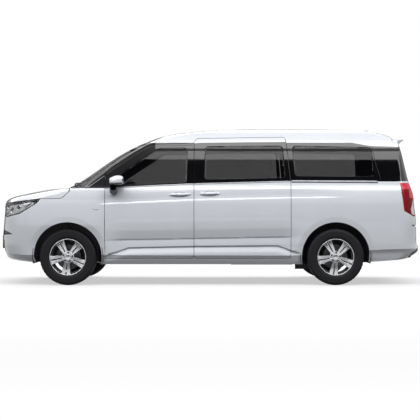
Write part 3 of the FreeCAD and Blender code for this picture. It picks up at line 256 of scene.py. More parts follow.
def smooth_rows(rings):
    """Interpolate every column of points through all the rings."""
    rings = np.array(rings)
    travel = np.linalg.norm(np.diff(rings, axis=0), axis=2)
    reach = travel.max(axis=1)
    counts = np.maximum(1, np.ceil(reach / ROW_HEIGHT / 1.6).astype(int))
    heights = np.maximum(1, np.ceil(np.diff(rings[:, 0, 2]) / ROW_HEIGHT).astype(int))
    counts = np.maximum(heights, np.minimum(counts, 8))
    columns = rings.shape[1]
    out = [np.zeros((columns, 3)) for _ in range(counts.sum() + 1)]
    for column in range(columns):
        p = rings[:, column, :]
        t = np.concatenate([[0], np.cumsum(np.maximum(travel[:, column], 1e-4))])
        bends = [slopes(t, p[:, axis]) for axis in range(3)]
        row = 0
        for i, count in enumerate(counts):
            h = t[i + 1] - t[i]
            for k in range(count + (i == len(counts) - 1)):
                f = k / count
                a, b = 2 * f**3 - 3 * f**2 + 1, -2 * f**3 + 3 * f**2
                c, d = f**3 - 2 * f**2 + f, f**3 - f**2
                out[row][column] = [a * p[i, axis] + b * p[i + 1, axis] + h * (c * bends[axis][i]
                                    + d * bends[axis][i + 1]) for axis in range(3)]
                row += 1
    return out


ridge = [(x, 0.0, 1.909) for x in np.linspace(0.75, 1.05, len(half_ring(LEVELS[0])))]
ROWS = smooth_rows([half_ring(level) for level in LEVELS] + [ridge])
print("skin rows and columns:", len(ROWS), len(ROWS[0]))

# %% [markdown]
# ## Cutting tools for the skin
# A panel is the skin inside a drawn outline, seen from the side (x, z) or from the front (y, z).
# Each edge of the outline bisects only the faces near it, so the cut is exact and the rest of the
# surface keeps its even quads. Corners are rounded as on pressed doors.

# %% Outline helpers
SIDE_VIEW, FRONT_VIEW, TOP_VIEW = (0, 2), (1, 2), (0, 1)


def inside(spots, outline):
    """Even-odd test of many points against one outline."""
    px, py = spots[:, 0], spots[:, 1]
    hit = np.zeros(len(spots), bool)
    for (ax, ay), (bx, by) in zip(outline, outline[1:] + outline[:1]):
        if ay == by:
            continue
        crosses = (ay > py) != (by > py)
        hit ^= crosses & (px < (bx - ax) * (py - ay) / (by - ay) + ax)
    return hit


def grow(outline, gap):
    """Move every edge of a closed outline outwards."""
    area = sum(a[0] * b[1] - b[0] * a[1] for a, b in zip(outline, outline[1:] + outline[:1]))
    turn = 1 if area > 0 else -1
    moved = []
    for before, here, after in zip(outline[-1:] + outline[:-1], outline, outline[1:] + outline[:1]):
        first = (Vector(here) - Vector(before)).normalized()
        second = (Vector(after) - Vector(here)).normalized()
        out_first, out_second = Vector((first.y, -first.x)) * turn, Vector((second.y, -second.x)) * turn
        way = out_first + out_second
        moved.append(tuple(Vector(here) + way * gap / max(0.35, way.dot(out_first))))
    return moved


def rounded(outline, radius, steps=5):
    """Replace corners by short arcs; radius may be a list, one for each corner."""
    radii = radius if isinstance(radius, (list, tuple)) else [radius] * len(outline)
    points = []
    for before, here, after, r in zip(outline[-1:] + outline[:-1], outline, outline[1:] + outline[:1], radii):
        if r <= 0:
            points.append(tuple(here))
            continue
        back, on = Vector(before) - Vector(here), Vector(after) - Vector(here)
        angle = back.angle(on)
        set_back = min(r / math.tan(angle / 2), back.length * 0.48, on.length * 0.48)
        a, b = Vector(here) + back.normalized() * set_back, Vector(here) + on.normalized() * set_back
        for i in range(steps + 1):
            f = i / steps
            points.append(tuple(a * (1 - f)**2 + Vector(here) * 2 * f * (1 - f) + b * f**2))
    return points


def angles(count):
    """Even steps round a full turn."""
    return [2 * math.pi * i / count for i in range(count)]


def ellipse(centre, half, steps):
    return [(centre[0] + half[0] * math.cos(a), centre[1] + half[1] * math.sin(a)) for a in angles(steps)]


def circle(centre, radius):
    return ellipse(centre, (radius, radius), 56)


def score(bm, view, line, closed=True, near=0.03, end=0):
    """Bisect the faces near each edge of a line or outline; end -1 or 1 keeps to the nose or the tail."""
    segments = zip(line, line[1:] + line[:1]) if closed else zip(line, line[1:])
    for start, finish_at in segments:
        a, b = Vector(start), Vector(finish_at)
        run = b - a
        if run.length < 1e-6:
            continue
        low = [min(a[i], b[i]) - near for i in (0, 1)]
        high = [max(a[i], b[i]) + near for i in (0, 1)]
        along = run.normalized()
        faces = []
        for face in bm.faces:
            c = face.calc_center_median()
            u, v = c[view[0]], c[view[1]]
            if end * c.x < 0:
                continue
            if low[0] < u < high[0] and low[1] < v < high[1]:
                away = abs((u - a.x) * along.y - (v - a.y) * along.x)
                if away < near:
                    faces.append(face)
        if not faces:
            continue
        parts = dict.fromkeys(faces)  # a dict, because it keeps the order in which parts go in
        for face in faces:
            parts.update(dict.fromkeys([*face.edges, *face.verts]))
        at, normal = Vector((0, 0, 0)), Vector((0, 0, 0))
        at[view[0]], at[view[1]] = a
        normal[view[0]], normal[view[1]] = along.y, -along.x
        bmesh.ops.bisect_plane(bm, geom=list(parts), dist=2e-5, plane_co=at, plane_no=normal)


def score_lines(bm, lines):
    """Score several open lines, drawn from the side."""
    for line in lines:
        score(bm, SIDE_VIEW, line, closed=False)


def slice_at(bm, place, normal, **more):
    """Cut every face along one plane."""
    bmesh.ops.bisect_plane(bm, geom=bm.verts[:] + bm.edges[:] + bm.faces[:], dist=1e-5, plane_co=place,
                           plane_no=normal, **more)


def middles(bm):
    return np.array([tuple(f.calc_center_median()) for f in bm.faces]).reshape(-1, 3)


def remove_faces(bm, marks):
    """Delete the faces that are marked, in the order of the mesh."""
    bmesh.ops.delete(bm, geom=[face for face, gone in zip(list(bm.faces), marks) if gone], context="FACES")


def trim(bm, view, outline, keep=True, end=0):
    """Cut along an outline and keep what is inside it, or outside it."""
    if keep:
        spots = middles(bm)[:, list(view)]
        low, high = np.min(outline, axis=0) - 0.06, np.max(outline, axis=0) + 0.06
        remove_faces(bm, ~np.all((spots > low) & (spots < high), axis=1))
    score(bm, view, outline, end=end)
    spots = middles(bm)
    hit = inside(spots[:, list(view)], outline) & (spots[:, 0] * end >= 0)
    remove_faces(bm, ~hit if keep else hit)


def other_side(bm):
    """Add the mirror image across the car's centre plane and sew the two halves."""
    middle = [f for f in bm.faces if all(abs(v.co.y) < 2e-4 for v in f.verts)]
    bmesh.ops.delete(bm, geom=middle, context="FACES_ONLY")
    bmesh.ops.mirror(bm, geom=bm.verts[:] + bm.edges[:] + bm.faces[:], matrix=Matrix.Identity(4),
                     merge_dist=2e-4, axis="Y")
    bmesh.ops.recalc_face_normals(bm, faces=bm.faces)


def flipped(bm):
    """Turn a shape into its mirror image on the other side of the car."""
    bmesh.ops.scale(bm, vec=(1, -1, 1), verts=bm.verts)
    bmesh.ops.reverse_faces(bm, faces=bm.faces)
    return bm


def mirrored(bm):
    """A mirrored copy, for the right side."""
    return flipped(bm.copy())


def sink(bm, depth):
    """Move a skin inwards along its normals."""
    bm.normal_update()
    for vert, normal in [(v, v.normal.copy()) for v in bm.verts]:
        vert.co -= normal * depth


# %% [markdown]
# ## Lines pressed into the sides
# The side has a character line under the shoulder, a crease low on the doors, a wedge above the sill
# and a flare round each wheel arch. The skin is scored along these lines first, so that each has its
# own crisp row of edges, and then its points move inwards by a few millimetres.

# %% Side lines (x, z) and their depth
FRONT_AXLE, REAR_AXLE, ARCH_Z = -1.680, 1.520, 0.350
WHEEL_Y, WHEEL_Z = 0.8375, 0.338
ARCH_RADIUS, FLARE_RADIUS = 0.405, 0.470
CHARACTER = [(-1.30, 0.965), (-1.209, 0.970), (-0.173, 1.018), (0.983, 1.043), (1.75, 1.050)]
CREASE = [(-1.235, 0.548), (-1.091, 0.550), (-0.172, 0.567), (0.934, 0.585), (1.00, 0.586)]
WEDGE = [(-1.235, 0.352), (-1.197, 0.364), (-0.953, 0.449), (-0.172, 0.466), (0.824, 0.476), (1.036, 0.397),
         (1.13, 0.362)]
LIP = [(-2.52, 0.372), (-2.10, 0.361), (1.10, 0.357), (1.90, 0.418), (2.40, 0.438), (2.52, 0.440)]


def shifted(line, dz):
    return [(x, z + dz) for x, z in line]


def height_of(line, x):
    return float(np.interp(x, [p[0] for p in line], [p[1] for p in line]))


def fade(x, low, low_full, high_full, high):
    """1 between the full marks, falling smoothly to 0 outside."""
    up = min(1.0, max(0.0, (x - low) / (low_full - low)))
    down = min(1.0, max(0.0, (high - x) / (high - high_full)))
    f = min(up, down)
    return f * f * (3 - 2 * f)


def ramp(value, stops):
    return float(np.interp(value, [s[0] for s in stops], [s[1] for s in stops]))


# Each form is a list of (height over its line, depth pressed in). UNDER_FORM counts downwards from its line,
# and FENDER_FORM is a bulge outwards that takes the height itself.
CHARACTER_FORM = [(-0.001, 0), (0.012, 0.009), (0.045, 0.0085), (0.115, 0)]
CREASE_FORM = [(-0.11, 0.0075), (-0.012, 0.011), (0.0, 0.0), (0.001, 0)]
WEDGE_FORM = [(-0.078, 0.0), (-0.003, 0.024), (0.0, 0.023), (0.007, 0.0085), (0.2, 0.0075)]
LEAN_FORM = [(-0.09, 0.018), (0.0, 0.034), (0.10, 0.013), (0.20, 0.002), (0.26, 0.0)]
UNDER_FORM = [(0, 0), (0.006, 0.007), (0.04, 0.022), (0.12, 0.034)]
FENDER_FORM = [(0.50, 0), (0.72, 0.022), (1.02, 0)]
FLARE_HEIGHT = 0.011


def pressed_depth(x, z):
    """How far the side is pressed in at a place."""
    depth = ramp(z - height_of(CHARACTER, x), CHARACTER_FORM) * fade(x, -1.34, -1.2, 0.95, 1.75)
    on_doors = fade(x, -1.26, -1.10, 0.90, 1.06)
    crease_z, wedge_z = height_of(CREASE, x), height_of(WEDGE, x)
    wedge_part = fade(x, -1.245, -1.19, 1.02, 1.12)
    if z <= crease_z and z > wedge_z + 0.007:
        depth += ramp(z - crease_z, CREASE_FORM) * on_doors
    elif z <= wedge_z + 0.007:
        depth += ramp(z - wedge_z, WEDGE_FORM) * wedge_part
    sill_part = ramp(z, [(0.36, 0), (0.46, 1)])
    depth += ramp(z - crease_z, LEAN_FORM) * fade(x, -1.34, -0.95, 0.85, 1.2) * sill_part
    under = height_of(LIP, x) - z
    if under > 0:
        depth += ramp(under, UNDER_FORM) * fade(x, -2.52, -2.40, 2.42, 2.52)
    depth -= ramp(z, FENDER_FORM) * fade(x, -2.42, -2.10, -1.42, -1.10)
    for axle in (FRONT_AXLE, REAR_AXLE):
        r = math.hypot(x - axle, z - ARCH_Z)
        if r < FLARE_RADIUS:
            depth += FLARE_HEIGHT * (FLARE_RADIUS - r) / (FLARE_RADIUS - ARCH_RADIUS)
    return depth


def make_skin():
    bm = bmesh.new()
    grid = [[bm.verts.new(Vector(p)) for p in row] for row in ROWS]
    for low, high in zip(grid, grid[1:]):
        for k in range(len(low) - 1):
            bm.faces.new((low[k], low[k + 1], high[k + 1], high[k]))
    bmesh.ops.remove_doubles(bm, verts=bm.verts, dist=1e-5)
    score_lines(bm, [CHARACTER, shifted(CHARACTER, 0.012), CREASE, shifted(CREASE, -0.012),
                     WEDGE, shifted(WEDGE, 0.007), LIP, shifted(LIP, -0.006)])
    for axle in (FRONT_AXLE, REAR_AXLE):
        score(bm, SIDE_VIEW, circle((axle, ARCH_Z), FLARE_RADIUS))
    for vert in bm.verts:
        x, y, z = vert.co
        if y < -0.55 and z < 1.2:
            vert.co.y += pressed_depth(x, z)
    bm.normal_update()
    return bm


SKIN = make_skin()
print("skin faces:", len(SKIN.faces))

# %% [markdown]
# ## Panel outlines
# The outlines repeat the shut lines of the CAD model, as drawn from the side (x, z) or the front (y, z).
# A neighbour is cut with the same outline grown by the shut gap, so that the gap is even all round.

# %% Outlines (millimetres, turned to metres)
def mm(points):
    return [(a / 1000, b / 1000) for a, b in points]


def both_sides(points):
    """A closed front-view outline from its left edge points, listed from bottom to top."""
    return [(-y, z) for y, z in points] + [(y, z) for y, z in reversed(points)]


GAP = 0.006
FRONT_DOOR = rounded(mm([(-1233, 325), (-176, 325), (-176, 1706), (-735, 1686), (-1233, 1366)]),
                     [.035, .035, .012, .08, .02])
SLIDING_DOOR = rounded(mm([(-170, 325), (981, 325), (981, 1240), (935, 1690), (921, 1778), (-140, 1762),
                           (-170, 1720)]), [.035, .05, 0, 0, .035, .02, 0])
FENDER = mm([(-1239, 250), (-1239, 1160), (-1560, 1160), (-1655, 1121), (-1729, 1051), (-1763, 1036),
             (-1998, 1033), (-2049, 973), (-2124, 931), (-2062, 480), (-2062, 264)])
HEADLAMP = mm([(-2620, 966), (-2428, 983), (-1998, 1033), (-2049, 973), (-2124, 931), (-2251, 856),
               (-2420, 818), (-2620, 822)])
FRONT_BUMPER = mm([(-2620, 330), (-2441, 314), (-2303, 290), (-2062, 264), (-2062, 480), (-2124, 931),
                   (-2049, 973), (-1998, 1033), (-2428, 983), (-2620, 966)])
BONNET = mm([(-2620, 972), (-2428, 989), (-1998, 1039), (-1766, 1042), (-1733, 1058), (-1665, 1123),
             (-1600, 1300), (-2620, 1300)])
REAR_BUMPER = mm([(1900, 278), (2030, 284), (2327, 309), (2540, 351), (2620, 356), (2620, 819), (2450, 823),
                  (2329, 888), (2230, 800), (1900, 560)])
TAIL_LAMP = mm([(2288, 1223), (2620, 1223), (2620, 819), (2450, 823), (2329, 888)])
SIDE_FRAME = mm([(-1239, 250), (1900, 250), (1900, 560), (2230, 800), (2329, 888), (2288, 1223), (2620, 1223),
                 (2620, 1712), (-1000, 1712), (-1700, 1230), (-1655, 1121), (-1560, 1160), (-1239, 1160)])
WINDSCREEN = both_sides(mm([(745, 1192), (655, 1700)]))
COWL = both_sides(mm([(820, 1040), (745, 1192)]))
TAILGATE = both_sides(mm([(745, 785), (745, 1235), (672, 1752)]))
REAR_WINDOW = both_sides(mm([(640, 1262), (560, 1672)]))
GRILLE_HOLE = rounded(both_sides(mm([(455, 575), (470, 948)])), 0.03)
INTAKE_HOLE = rounded(both_sides(mm([(520, 372), (560, 505)])), 0.03)
FRONT_WINDOW = rounded(mm([(-1140, 1196), (-262, 1226), (-250, 1652), (-590, 1648), (-1140, 1292)]),
                       [.01, .04, .05, .10, .02])
SLIDING_WINDOW = rounded(mm([(-50, 1262), (925, 1284), (893, 1676), (-42, 1668)]), 0.05)
QUARTER_WINDOW = rounded(mm([(1035, 1305), (1990, 1296), (1962, 1655), (1003, 1676)]), 0.05)
BELT = mm([(-1720, 1159), (-1450, 1159), (-1233, 1157), (-1010, 1173), (-668, 1194), (-173, 1215),
           (1009, 1246), (2238, 1240), (2420, 1248)])
BLACK_TOP = mm([(-1240, 1366), (-741, 1688), (-158, 1706), (-103, 1712), (932, 1722), (1725, 1712),
                (1833, 1692), (1941, 1672), (2210, 1662), (2420, 1658)])
ARCHES = [circle((axle, ARCH_Z), ARCH_RADIUS) for axle in (FRONT_AXLE, REAR_AXLE)]
FRONT_ARCH, REAR_ARCH = ARCHES
ROOF_LINE, ROOF_REAR = 1.712, 2.213
BONNET_EDGE = [(-1.665, -0.96), (-1.700, -0.80), (-1.742, -0.60), (-1.778, -0.38), (-1.799, -0.18),
               (-1.806, 0)]
DOOR_WALL, FRAME_WALL, BUMPER_WALL = 0.085, 0.042, 0.022
print("front door outline points:", len(FRONT_DOOR))

# %% [markdown]
# ## Cutting the panels
# Each panel starts as a copy of the skin. Its neighbours' outlines are cut away, then Solidify folds the
# sheet inwards by the depth of the door or frame, and a small Bevel rolls the visible edges.

# %% Panel helpers
def cut(outline, view=SIDE_VIEW, away=(), end=0):
    """The skin inside an outline, without the places listed as (view, outline, end)."""
    bm = SKIN.copy()
    trim(bm, view, outline, end=end)
    for other_view, other, other_end in away:
        trim(bm, other_view, other, keep=False, end=other_end)
    return bm


def paint_by(bm, choose):
    """Give each face a material number from its middle point."""
    for face in bm.faces:
        face.material_index = choose(face.calc_center_median())


WAIST_LOW, WAIST_HIGH = 1.12, 1.20


def waist_share(z):
    """0 below the waist, 1 above it."""
    return min(1, max(0, (z - WAIST_LOW) / (WAIST_HIGH - WAIST_LOW)))


def panel(name, bm, finishes, body, depth, stands_for=(), slot=None, roll=0.0025, inner=None, thin=None):
    """A skin panel with a folded wall; above the waist the wall may be thinner, as on a window frame."""
    share = {}
    if thin:
        for i, v in enumerate(bm.verts):
            share[i] = 1 + (thin / depth - 1) * waist_share(v.co.z)
    made = piece(name, bm, finishes + ([inner] if inner else []), body, stands_for, slot)
    wall = modifier(made, "SOLIDIFY", "folded wall", thickness=depth, offset=-1, use_even_offset=False)
    if inner:
        wall.material_offset = len(finishes)
    if share:
        group = made.vertex_groups.new(name="wall")
        for i, weight in share.items():
            group.add([i], weight, "REPLACE")
        wall.vertex_group = "wall"
    if roll:
        edge_roll(made, roll, 2, 50)
    return made


def pair(name, bm, finishes, body, depth, stands_for=(), **more):
    """The same panel on both sides; a * in a body or CAD node stands for left or right."""
    for side, half in (("left", bm), ("right", mirrored(bm))):
        panel(name + "_" + side, half, finishes, body.replace("*", side), depth,
              [node.replace("*", side) for node in stands_for], **more)


# %% Front doors
def above(line, x, z):
    return z > height_of(line, x)


PILLAR_END = [(-.64, 1.60), (-.64, 1.76)]


def door_tone(spot):
    return 1 if above(BELT, spot.x, spot.z) and not above(BLACK_TOP, spot.x, spot.z) else 0


def front_tone(spot):
    return 0 if not above(BELT, spot.x, spot.z) else 2 if spot.x < PILLAR_END[0][0] else 1


door_skin = cut(FRONT_DOOR, away=[(SIDE_VIEW, FRONT_WINDOW, 0)])
score_lines(door_skin, [BELT, PILLAR_END])
paint_by(door_skin, front_tone)
pair("door_skin_front", door_skin, [PAINT, GLOSS_BLACK, FRIT], "front_door_*", DOOR_WALL, ("door_front_*",),
     slot="body_paint", inner=TRIM_DARK, thin=FRAME_WALL)

# %% Sliding doors
slide_skin = cut(SLIDING_DOOR, away=[(SIDE_VIEW, SLIDING_WINDOW, 0)])
score_lines(slide_skin, [BELT, BLACK_TOP])
paint_by(slide_skin, door_tone)
pair("door_skin_sliding", slide_skin, [PAINT, GLOSS_BLACK], "body", DOOR_WALL, ("sliding_door_*",),
     slot="body_paint", inner=TRIM_DARK, thin=FRAME_WALL)

# %% Fenders
fender_skin = cut(FENDER, away=[(SIDE_VIEW, FRONT_ARCH, 0)])
pair("fender_skin", fender_skin, [PAINT], "body", 0.02, ("fender_*",), slot="body_paint")

# %% Side frames: pillars, rear quarters and sills
side_away = [(SIDE_VIEW, grow(FRONT_DOOR, GAP), 0), (SIDE_VIEW, grow(SLIDING_DOOR, GAP), 0),
             (SIDE_VIEW, REAR_ARCH, 0), (SIDE_VIEW, QUARTER_WINDOW, 0),
             (FRONT_VIEW, grow(WINDSCREEN, 0.004), -1), (FRONT_VIEW, grow(TAILGATE, GAP), 1),
             (FRONT_VIEW, grow(COWL, 0.003), -1), (SIDE_VIEW, grow(BONNET, 0.005), -1)]
side_skin = cut([(x, z - (0.003 if z == ROOF_LINE else 0)) for x, z in SIDE_FRAME], away=side_away)
score_lines(side_skin, [BELT, BLACK_TOP, PILLAR_END])
paint_by(side_skin, lambda spot: door_tone(spot) if spot.x > -0.25 else front_tone(spot))
pair("side_frame_skin", side_skin, [PAINT, GLOSS_BLACK, FRIT], "body", DOOR_WALL, ("side_frame_*",),
     slot="body_paint", inner=TRIM_DARK, thin=FRAME_WALL)

# %% Roof
roof_skin = cut([(-1.05, ROOF_LINE), (ROOF_REAR, ROOF_LINE), (ROOF_REAR, 2.0), (-1.05, 2.0)],
                away=[(SIDE_VIEW, grow(SLIDING_DOOR, GAP), 0), (FRONT_VIEW, grow(WINDSCREEN, 0.004), -1)])
other_side(roof_skin)
panel("roof_skin", roof_skin, [PAINT], "body", 0.035, ("roof_panel",), "body_paint", inner=TRIM_DARK)

# %% Bonnet
bonnet_skin = cut(BONNET, away=[(TOP_VIEW, BONNET_EDGE + [(-1.2, 0.0), (-1.2, -0.96)], 0)])
other_side(bonnet_skin)
panel("bonnet_skin", bonnet_skin, [PAINT], "bonnet_lid", 0.022, ("bonnet",), "body_paint", inner=UNDERBODY)

# %% Front bumper
front_skin = cut(FRONT_BUMPER, away=[(FRONT_VIEW, GRILLE_HOLE, -1), (FRONT_VIEW, INTAKE_HOLE, -1),
                                     (SIDE_VIEW, FRONT_ARCH, 0)])


def recess(bm, chosen, depth, tone):
    """Sink a group of faces below the skin and give them another finish."""
    if not chosen:
        return
    bm.normal_update()
    normals = {v: v.normal.copy() for f in chosen for v in f.verts}
    places = {tuple(v.co): n for v, n in normals.items()}
    raised = bmesh.ops.extrude_face_region(bm, geom=chosen)["geom"]
    for item in raised:
        if isinstance(item, bmesh.types.BMVert):
            item.co -= places[tuple(item.co)] * depth
        elif isinstance(item, bmesh.types.BMFace):
            item.material_index = tone
    walls = {f for item in raised if isinstance(item, bmesh.types.BMVert) for f in item.link_faces}
    for face in walls:
        face.material_index = tone
    bmesh.ops.delete(bm, geom=chosen, context="FACES_ONLY")


def sink_inside(bm, view, outline, depth, tone, end, y_below=0.0):
    """Score an outline at one end of the skin and recess what lies inside it, left of y_below."""
    score(bm, view, outline, end=end)
    spots = middles(bm)
    hit = inside(spots[:, list(view)], outline)
    chosen = [f for f, h, c in zip(list(bm.faces), hit, spots) if h and c[0] * end >= 0 and c[1] < y_below]
    recess(bm, chosen, depth, tone)


LAMP_INNER = 0.48
CORNER_NOTCH = mm([(-2620, 668), (-2470, 664), (-2453, 657), (-2336, 612), (-2440, 603), (-2620, 596)])
CORNER_VENT = rounded(mm([(-770, 540), (-640, 532), (-610, 405), (-735, 400)]), .02)
slice_at(front_skin, (0, -LAMP_INNER, 0), (0, 1, 0))
lamp_hole = grow(HEADLAMP, 0.003)
score(front_skin, SIDE_VIEW, lamp_hole)
spots = middles(front_skin)
remove_faces(front_skin, inside(spots[:, [0, 2]], lamp_hole) & (spots[:, 1] < -LAMP_INNER))
sink_inside(front_skin, SIDE_VIEW, CORNER_NOTCH, 0.016, 1, -1, -0.60)
sink_inside(front_skin, FRONT_VIEW, CORNER_VENT, 0.022, 1, -1)
other_side(front_skin)
panel("front_bumper_skin", front_skin, [PAINT, DARK_PLASTIC], "body", BUMPER_WALL, ("front_bumper",),
      "body_paint", inner=DARK_PLASTIC)

# %% Rear bumper
rear_skin = cut(REAR_BUMPER, away=[(FRONT_VIEW, grow(TAILGATE, GAP), 1), (SIDE_VIEW, REAR_ARCH, 0)])
REAR_CORNER = mm([(2390, 330), (2412, 372), (2500, 440), (2555, 462), (2620, 468), (2620, 330)])
REAR_SLOT = mm([(2428, 712), (2500, 696), (2620, 696), (2620, 714), (2505, 714), (2434, 726)])
sink_inside(rear_skin, SIDE_VIEW, REAR_CORNER, 0.012, 1, 1)
sink_inside(rear_skin, SIDE_VIEW, REAR_SLOT, 0.014, 1, 1, -0.62)
other_side(rear_skin)
panel("rear_bumper_skin", rear_skin, [PAINT, DARK_PLASTIC], "body", BUMPER_WALL, ("rear_bumper",),
      "body_paint", inner=DARK_PLASTIC)

# %% Tailgate: the rear door and the end of the roof above it
GATE_TOP = [(2.219, 1.7125), (2.7, 1.7125), (2.7, 2.0), (2.219, 2.0)]
PLATE_HOLLOW = rounded(both_sides(mm([(262, 905), (262, 1100)])), 0.02)
GATE_BLACK = (1.238, 1.700)
gate_skin = SKIN.copy()
trim(gate_skin, SIDE_VIEW, mm([(2150, 780), (2700, 780), (2700, 2000), (2150, 2000)]))
score(gate_skin, FRONT_VIEW, TAILGATE, end=1)
score(gate_skin, SIDE_VIEW, GATE_TOP)
spots = middles(gate_skin)
remove_faces(gate_skin, ~(inside(spots[:, [1, 2]], TAILGATE) | inside(spots[:, [0, 2]], GATE_TOP)))
trim(gate_skin, FRONT_VIEW, REAR_WINDOW, keep=False, end=1)
score_lines(gate_skin, [[(2.1, z), (2.7, z)] for z in GATE_BLACK])
paint_by(gate_skin, lambda spot: int(GATE_BLACK[0] < spot.z < GATE_BLACK[1]))
sink_inside(gate_skin, FRONT_VIEW, PLATE_HOLLOW, 0.016, 0, 1)
other_side(gate_skin)
panel("tailgate_skin", gate_skin, [PAINT, GLOSS_BLACK], "tailgate_lid", 0.055, ("tailgate",), "body_paint",
      inner=TRIM_DARK)

# %% [markdown]
# ## Glass
# Car glass is dark from outside, so its finish mixes a nearly black gloss surface with some see-through.
# Each pane is the same skin, sunk a little below the frame.

# %% Panes
def pane(outline, view=SIDE_VIEW, end=0, sunk=0.005, whole=False):
    bm = SKIN.copy()
    trim(bm, view, grow(outline, -0.0015), end=end)
    sink(bm, sunk)
    if whole:
        other_side(bm)
    return bm


for name, outline, body, node in (("front", FRONT_WINDOW, "front_door_*", "door_glass_front_*"),
                                  ("sliding", SLIDING_WINDOW, "body", "sliding_door_glass"),
                                  ("quarter", QUARTER_WINDOW, "body", "quarter_glass")):
    pair("pane_" + name, pane(outline), [GLASS], body, 0.005, (node,), slot="tinted_glass", roll=0)
screen_bm = pane(WINDSCREEN, FRONT_VIEW, -1, 0.004, True)
frit = grow(WINDSCREEN, -0.045)
score(screen_bm, FRONT_VIEW, frit)
paint_by(screen_bm, lambda spot: 0 if inside(np.array([[spot.y, spot.z]]), frit)[0] else 1)
panel("pane_windscreen", screen_bm, [CLEAR_GLASS, FRIT], "body", 0.006,
      stands_for=("windscreen",), slot="clear_glass", roll=0)
panel("pane_tailgate", pane(REAR_WINDOW, FRONT_VIEW, 1, 0.005, True), [GLASS], "tailgate_lid", 0.005,
      stands_for=("tailgate_glass",), slot="tinted_glass", roll=0)

# %% [markdown]
# ## Turned, lofted and tubular shapes
# Knobs, rims and lamps are turned: a section is spun about an axis. Handles and spokes are lofted: rings
# of points are bridged. Rods follow a few points.

# %% Helpers for turned and lofted shapes
def turned(profile, steps=72, closed=True):
    """Spin a section of (radius, outward) points about the wheel's axis; outward is -Y on the left."""
    bm = bmesh.new()
    verts = [bm.verts.new((r, -out, 0)) for r, out in profile]
    edges = [bm.edges.new(ends) for ends in zip(verts, verts[1:] + (verts[:1] if closed else []))]
    bmesh.ops.spin(bm, geom=verts + edges, cent=(0, 0, 0), axis=(0, 1, 0), angle=2 * math.pi, steps=steps,
                   use_merge=True, use_duplicate=False)
    bmesh.ops.remove_doubles(bm, verts=bm.verts, dist=1e-5)
    bmesh.ops.recalc_face_normals(bm, faces=bm.faces)
    return bm


def loft(sections, cap=True):
    """Bridge rings of points in turn and close both ends."""
    bm = bmesh.new()
    rings = []
    for points in sections:
        verts = [bm.verts.new(p) for p in points]
        rings.append((verts, [bm.edges.new(e) for e in zip(verts, verts[1:] + verts[:1])]))
    for (_, low), (_, high) in zip(rings, rings[1:]):
        bmesh.ops.bridge_loops(bm, edges=low + high)
    if cap:
        for verts in (rings[0][0], rings[-1][0]):
            bm.faces.new(verts)
    bmesh.ops.recalc_face_normals(bm, faces=bm.faces)
    return bm


def join(bm, other):
    """Add another bmesh to this one."""
    mesh = bpy.data.meshes.new("joined")
    other.to_mesh(mesh)
    bm.from_mesh(mesh)
    bpy.data.meshes.remove(mesh)
    other.free()
    return bm


def moved(bm, way):
    bmesh.ops.translate(bm, vec=way, verts=bm.verts)
    return bm


def rotated(bm, angle, axis="Y", centre=(0, 0, 0)):
    bmesh.ops.rotate(bm, verts=bm.verts, cent=centre, matrix=Matrix.Rotation(angle, 3, axis))
    return bm


def tilted(bm, degrees, axis="Y", centre=(0, 0, 0)):
    return rotated(bm, math.radians(degrees), axis, centre)


def tube(points, radius, sides=10):
    """A round rod through a few points, with closed ends."""
    rings = []
    for i, point in enumerate(points):
        here = Vector(point)
        ahead = Vector(points[min(i + 1, len(points) - 1)]) - Vector(points[max(i - 1, 0)])
        across = ahead.orthogonal().normalized() if i == 0 else (across - ahead * across.dot(ahead)
                                                                 / ahead.length_squared).normalized()
        up = ahead.normalized().cross(across)
        r = radius[i] if isinstance(radius, (list, tuple)) else radius
        rings.append([here + across * r * math.cos(a) + up * r * math.sin(a) for a in angles(sides)])
    return loft(rings)


def block(bm, middle, size):
    """Add a plain block to a bmesh."""
    bmesh.ops.create_cube(bm, size=1, matrix=Matrix.Translation(middle) @ Matrix.Diagonal((*size, 1)))


print("shape helpers ready")

# %% [markdown]
# ## Placing details on the skin
# Small parts must sit exactly on the curved body. A ray shot at the skin finds the surface point and its
# normal, so a handle, a lamp or a strip can be drawn flat and then laid on the body.

# %% Surface finder
from mathutils.bvhtree import BVHTree

TREE = BVHTree.FromBMesh(SKIN)


def shoot(start, way, mirror=False):
    hit, normal, _, _ = TREE.ray_cast(Vector(start), Vector(way))
    if hit is None:
        hit, normal, _, _ = TREE.find_nearest(Vector(start) + Vector(way) * 2)
    if normal.dot(Vector(way)) > 0:
        normal = -normal
    if mirror:
        hit, normal = Vector((hit.x, -hit.y, hit.z)), Vector((normal.x, -normal.y, normal.z))
    return hit, normal


def on_side(x, z, out=0.0):
    hit, normal = shoot((x, -3, z), (0, 1, 0))
    return hit + normal * out


def on_nose(y, z, out=0.0):
    hit, normal = shoot((-4, -max(abs(y), 1e-4), z), (1, 0, 0), y > 0)
    return hit + normal * out


def on_tail(y, z, out=0.0):
    hit, normal = shoot((4, -max(abs(y), 1e-4), z), (-1, 0, 0), y > 0)
    return hit + normal * out


def on_top(x, y, out=0.0):
    hit, normal = shoot((x, -max(abs(y), 1e-4), 3), (0, 0, -1), y > 0)
    return hit + normal * out


def strip(place, line, width, lift, thick):
    """A raised strip laid along a line on the skin: place is one of the finders above."""
    rings = []
    for i, (a, b) in enumerate(line):
        before, after = line[max(i - 1, 0)], line[min(i + 1, len(line) - 1)]
        run = Vector((after[0] - before[0], after[1] - before[1])).normalized()
        side = Vector((-run.y, run.x)) * (width[i] if isinstance(width, (list, tuple)) else width) / 2
        section = ((-1, -thick), (-1, lift * .6), (-.7, lift), (.7, lift), (1, lift * .6), (1, -thick))
        rings.append([place(a + side.x * shift, b + side.y * shift, out) for shift, out in section])
    return loft(rings)


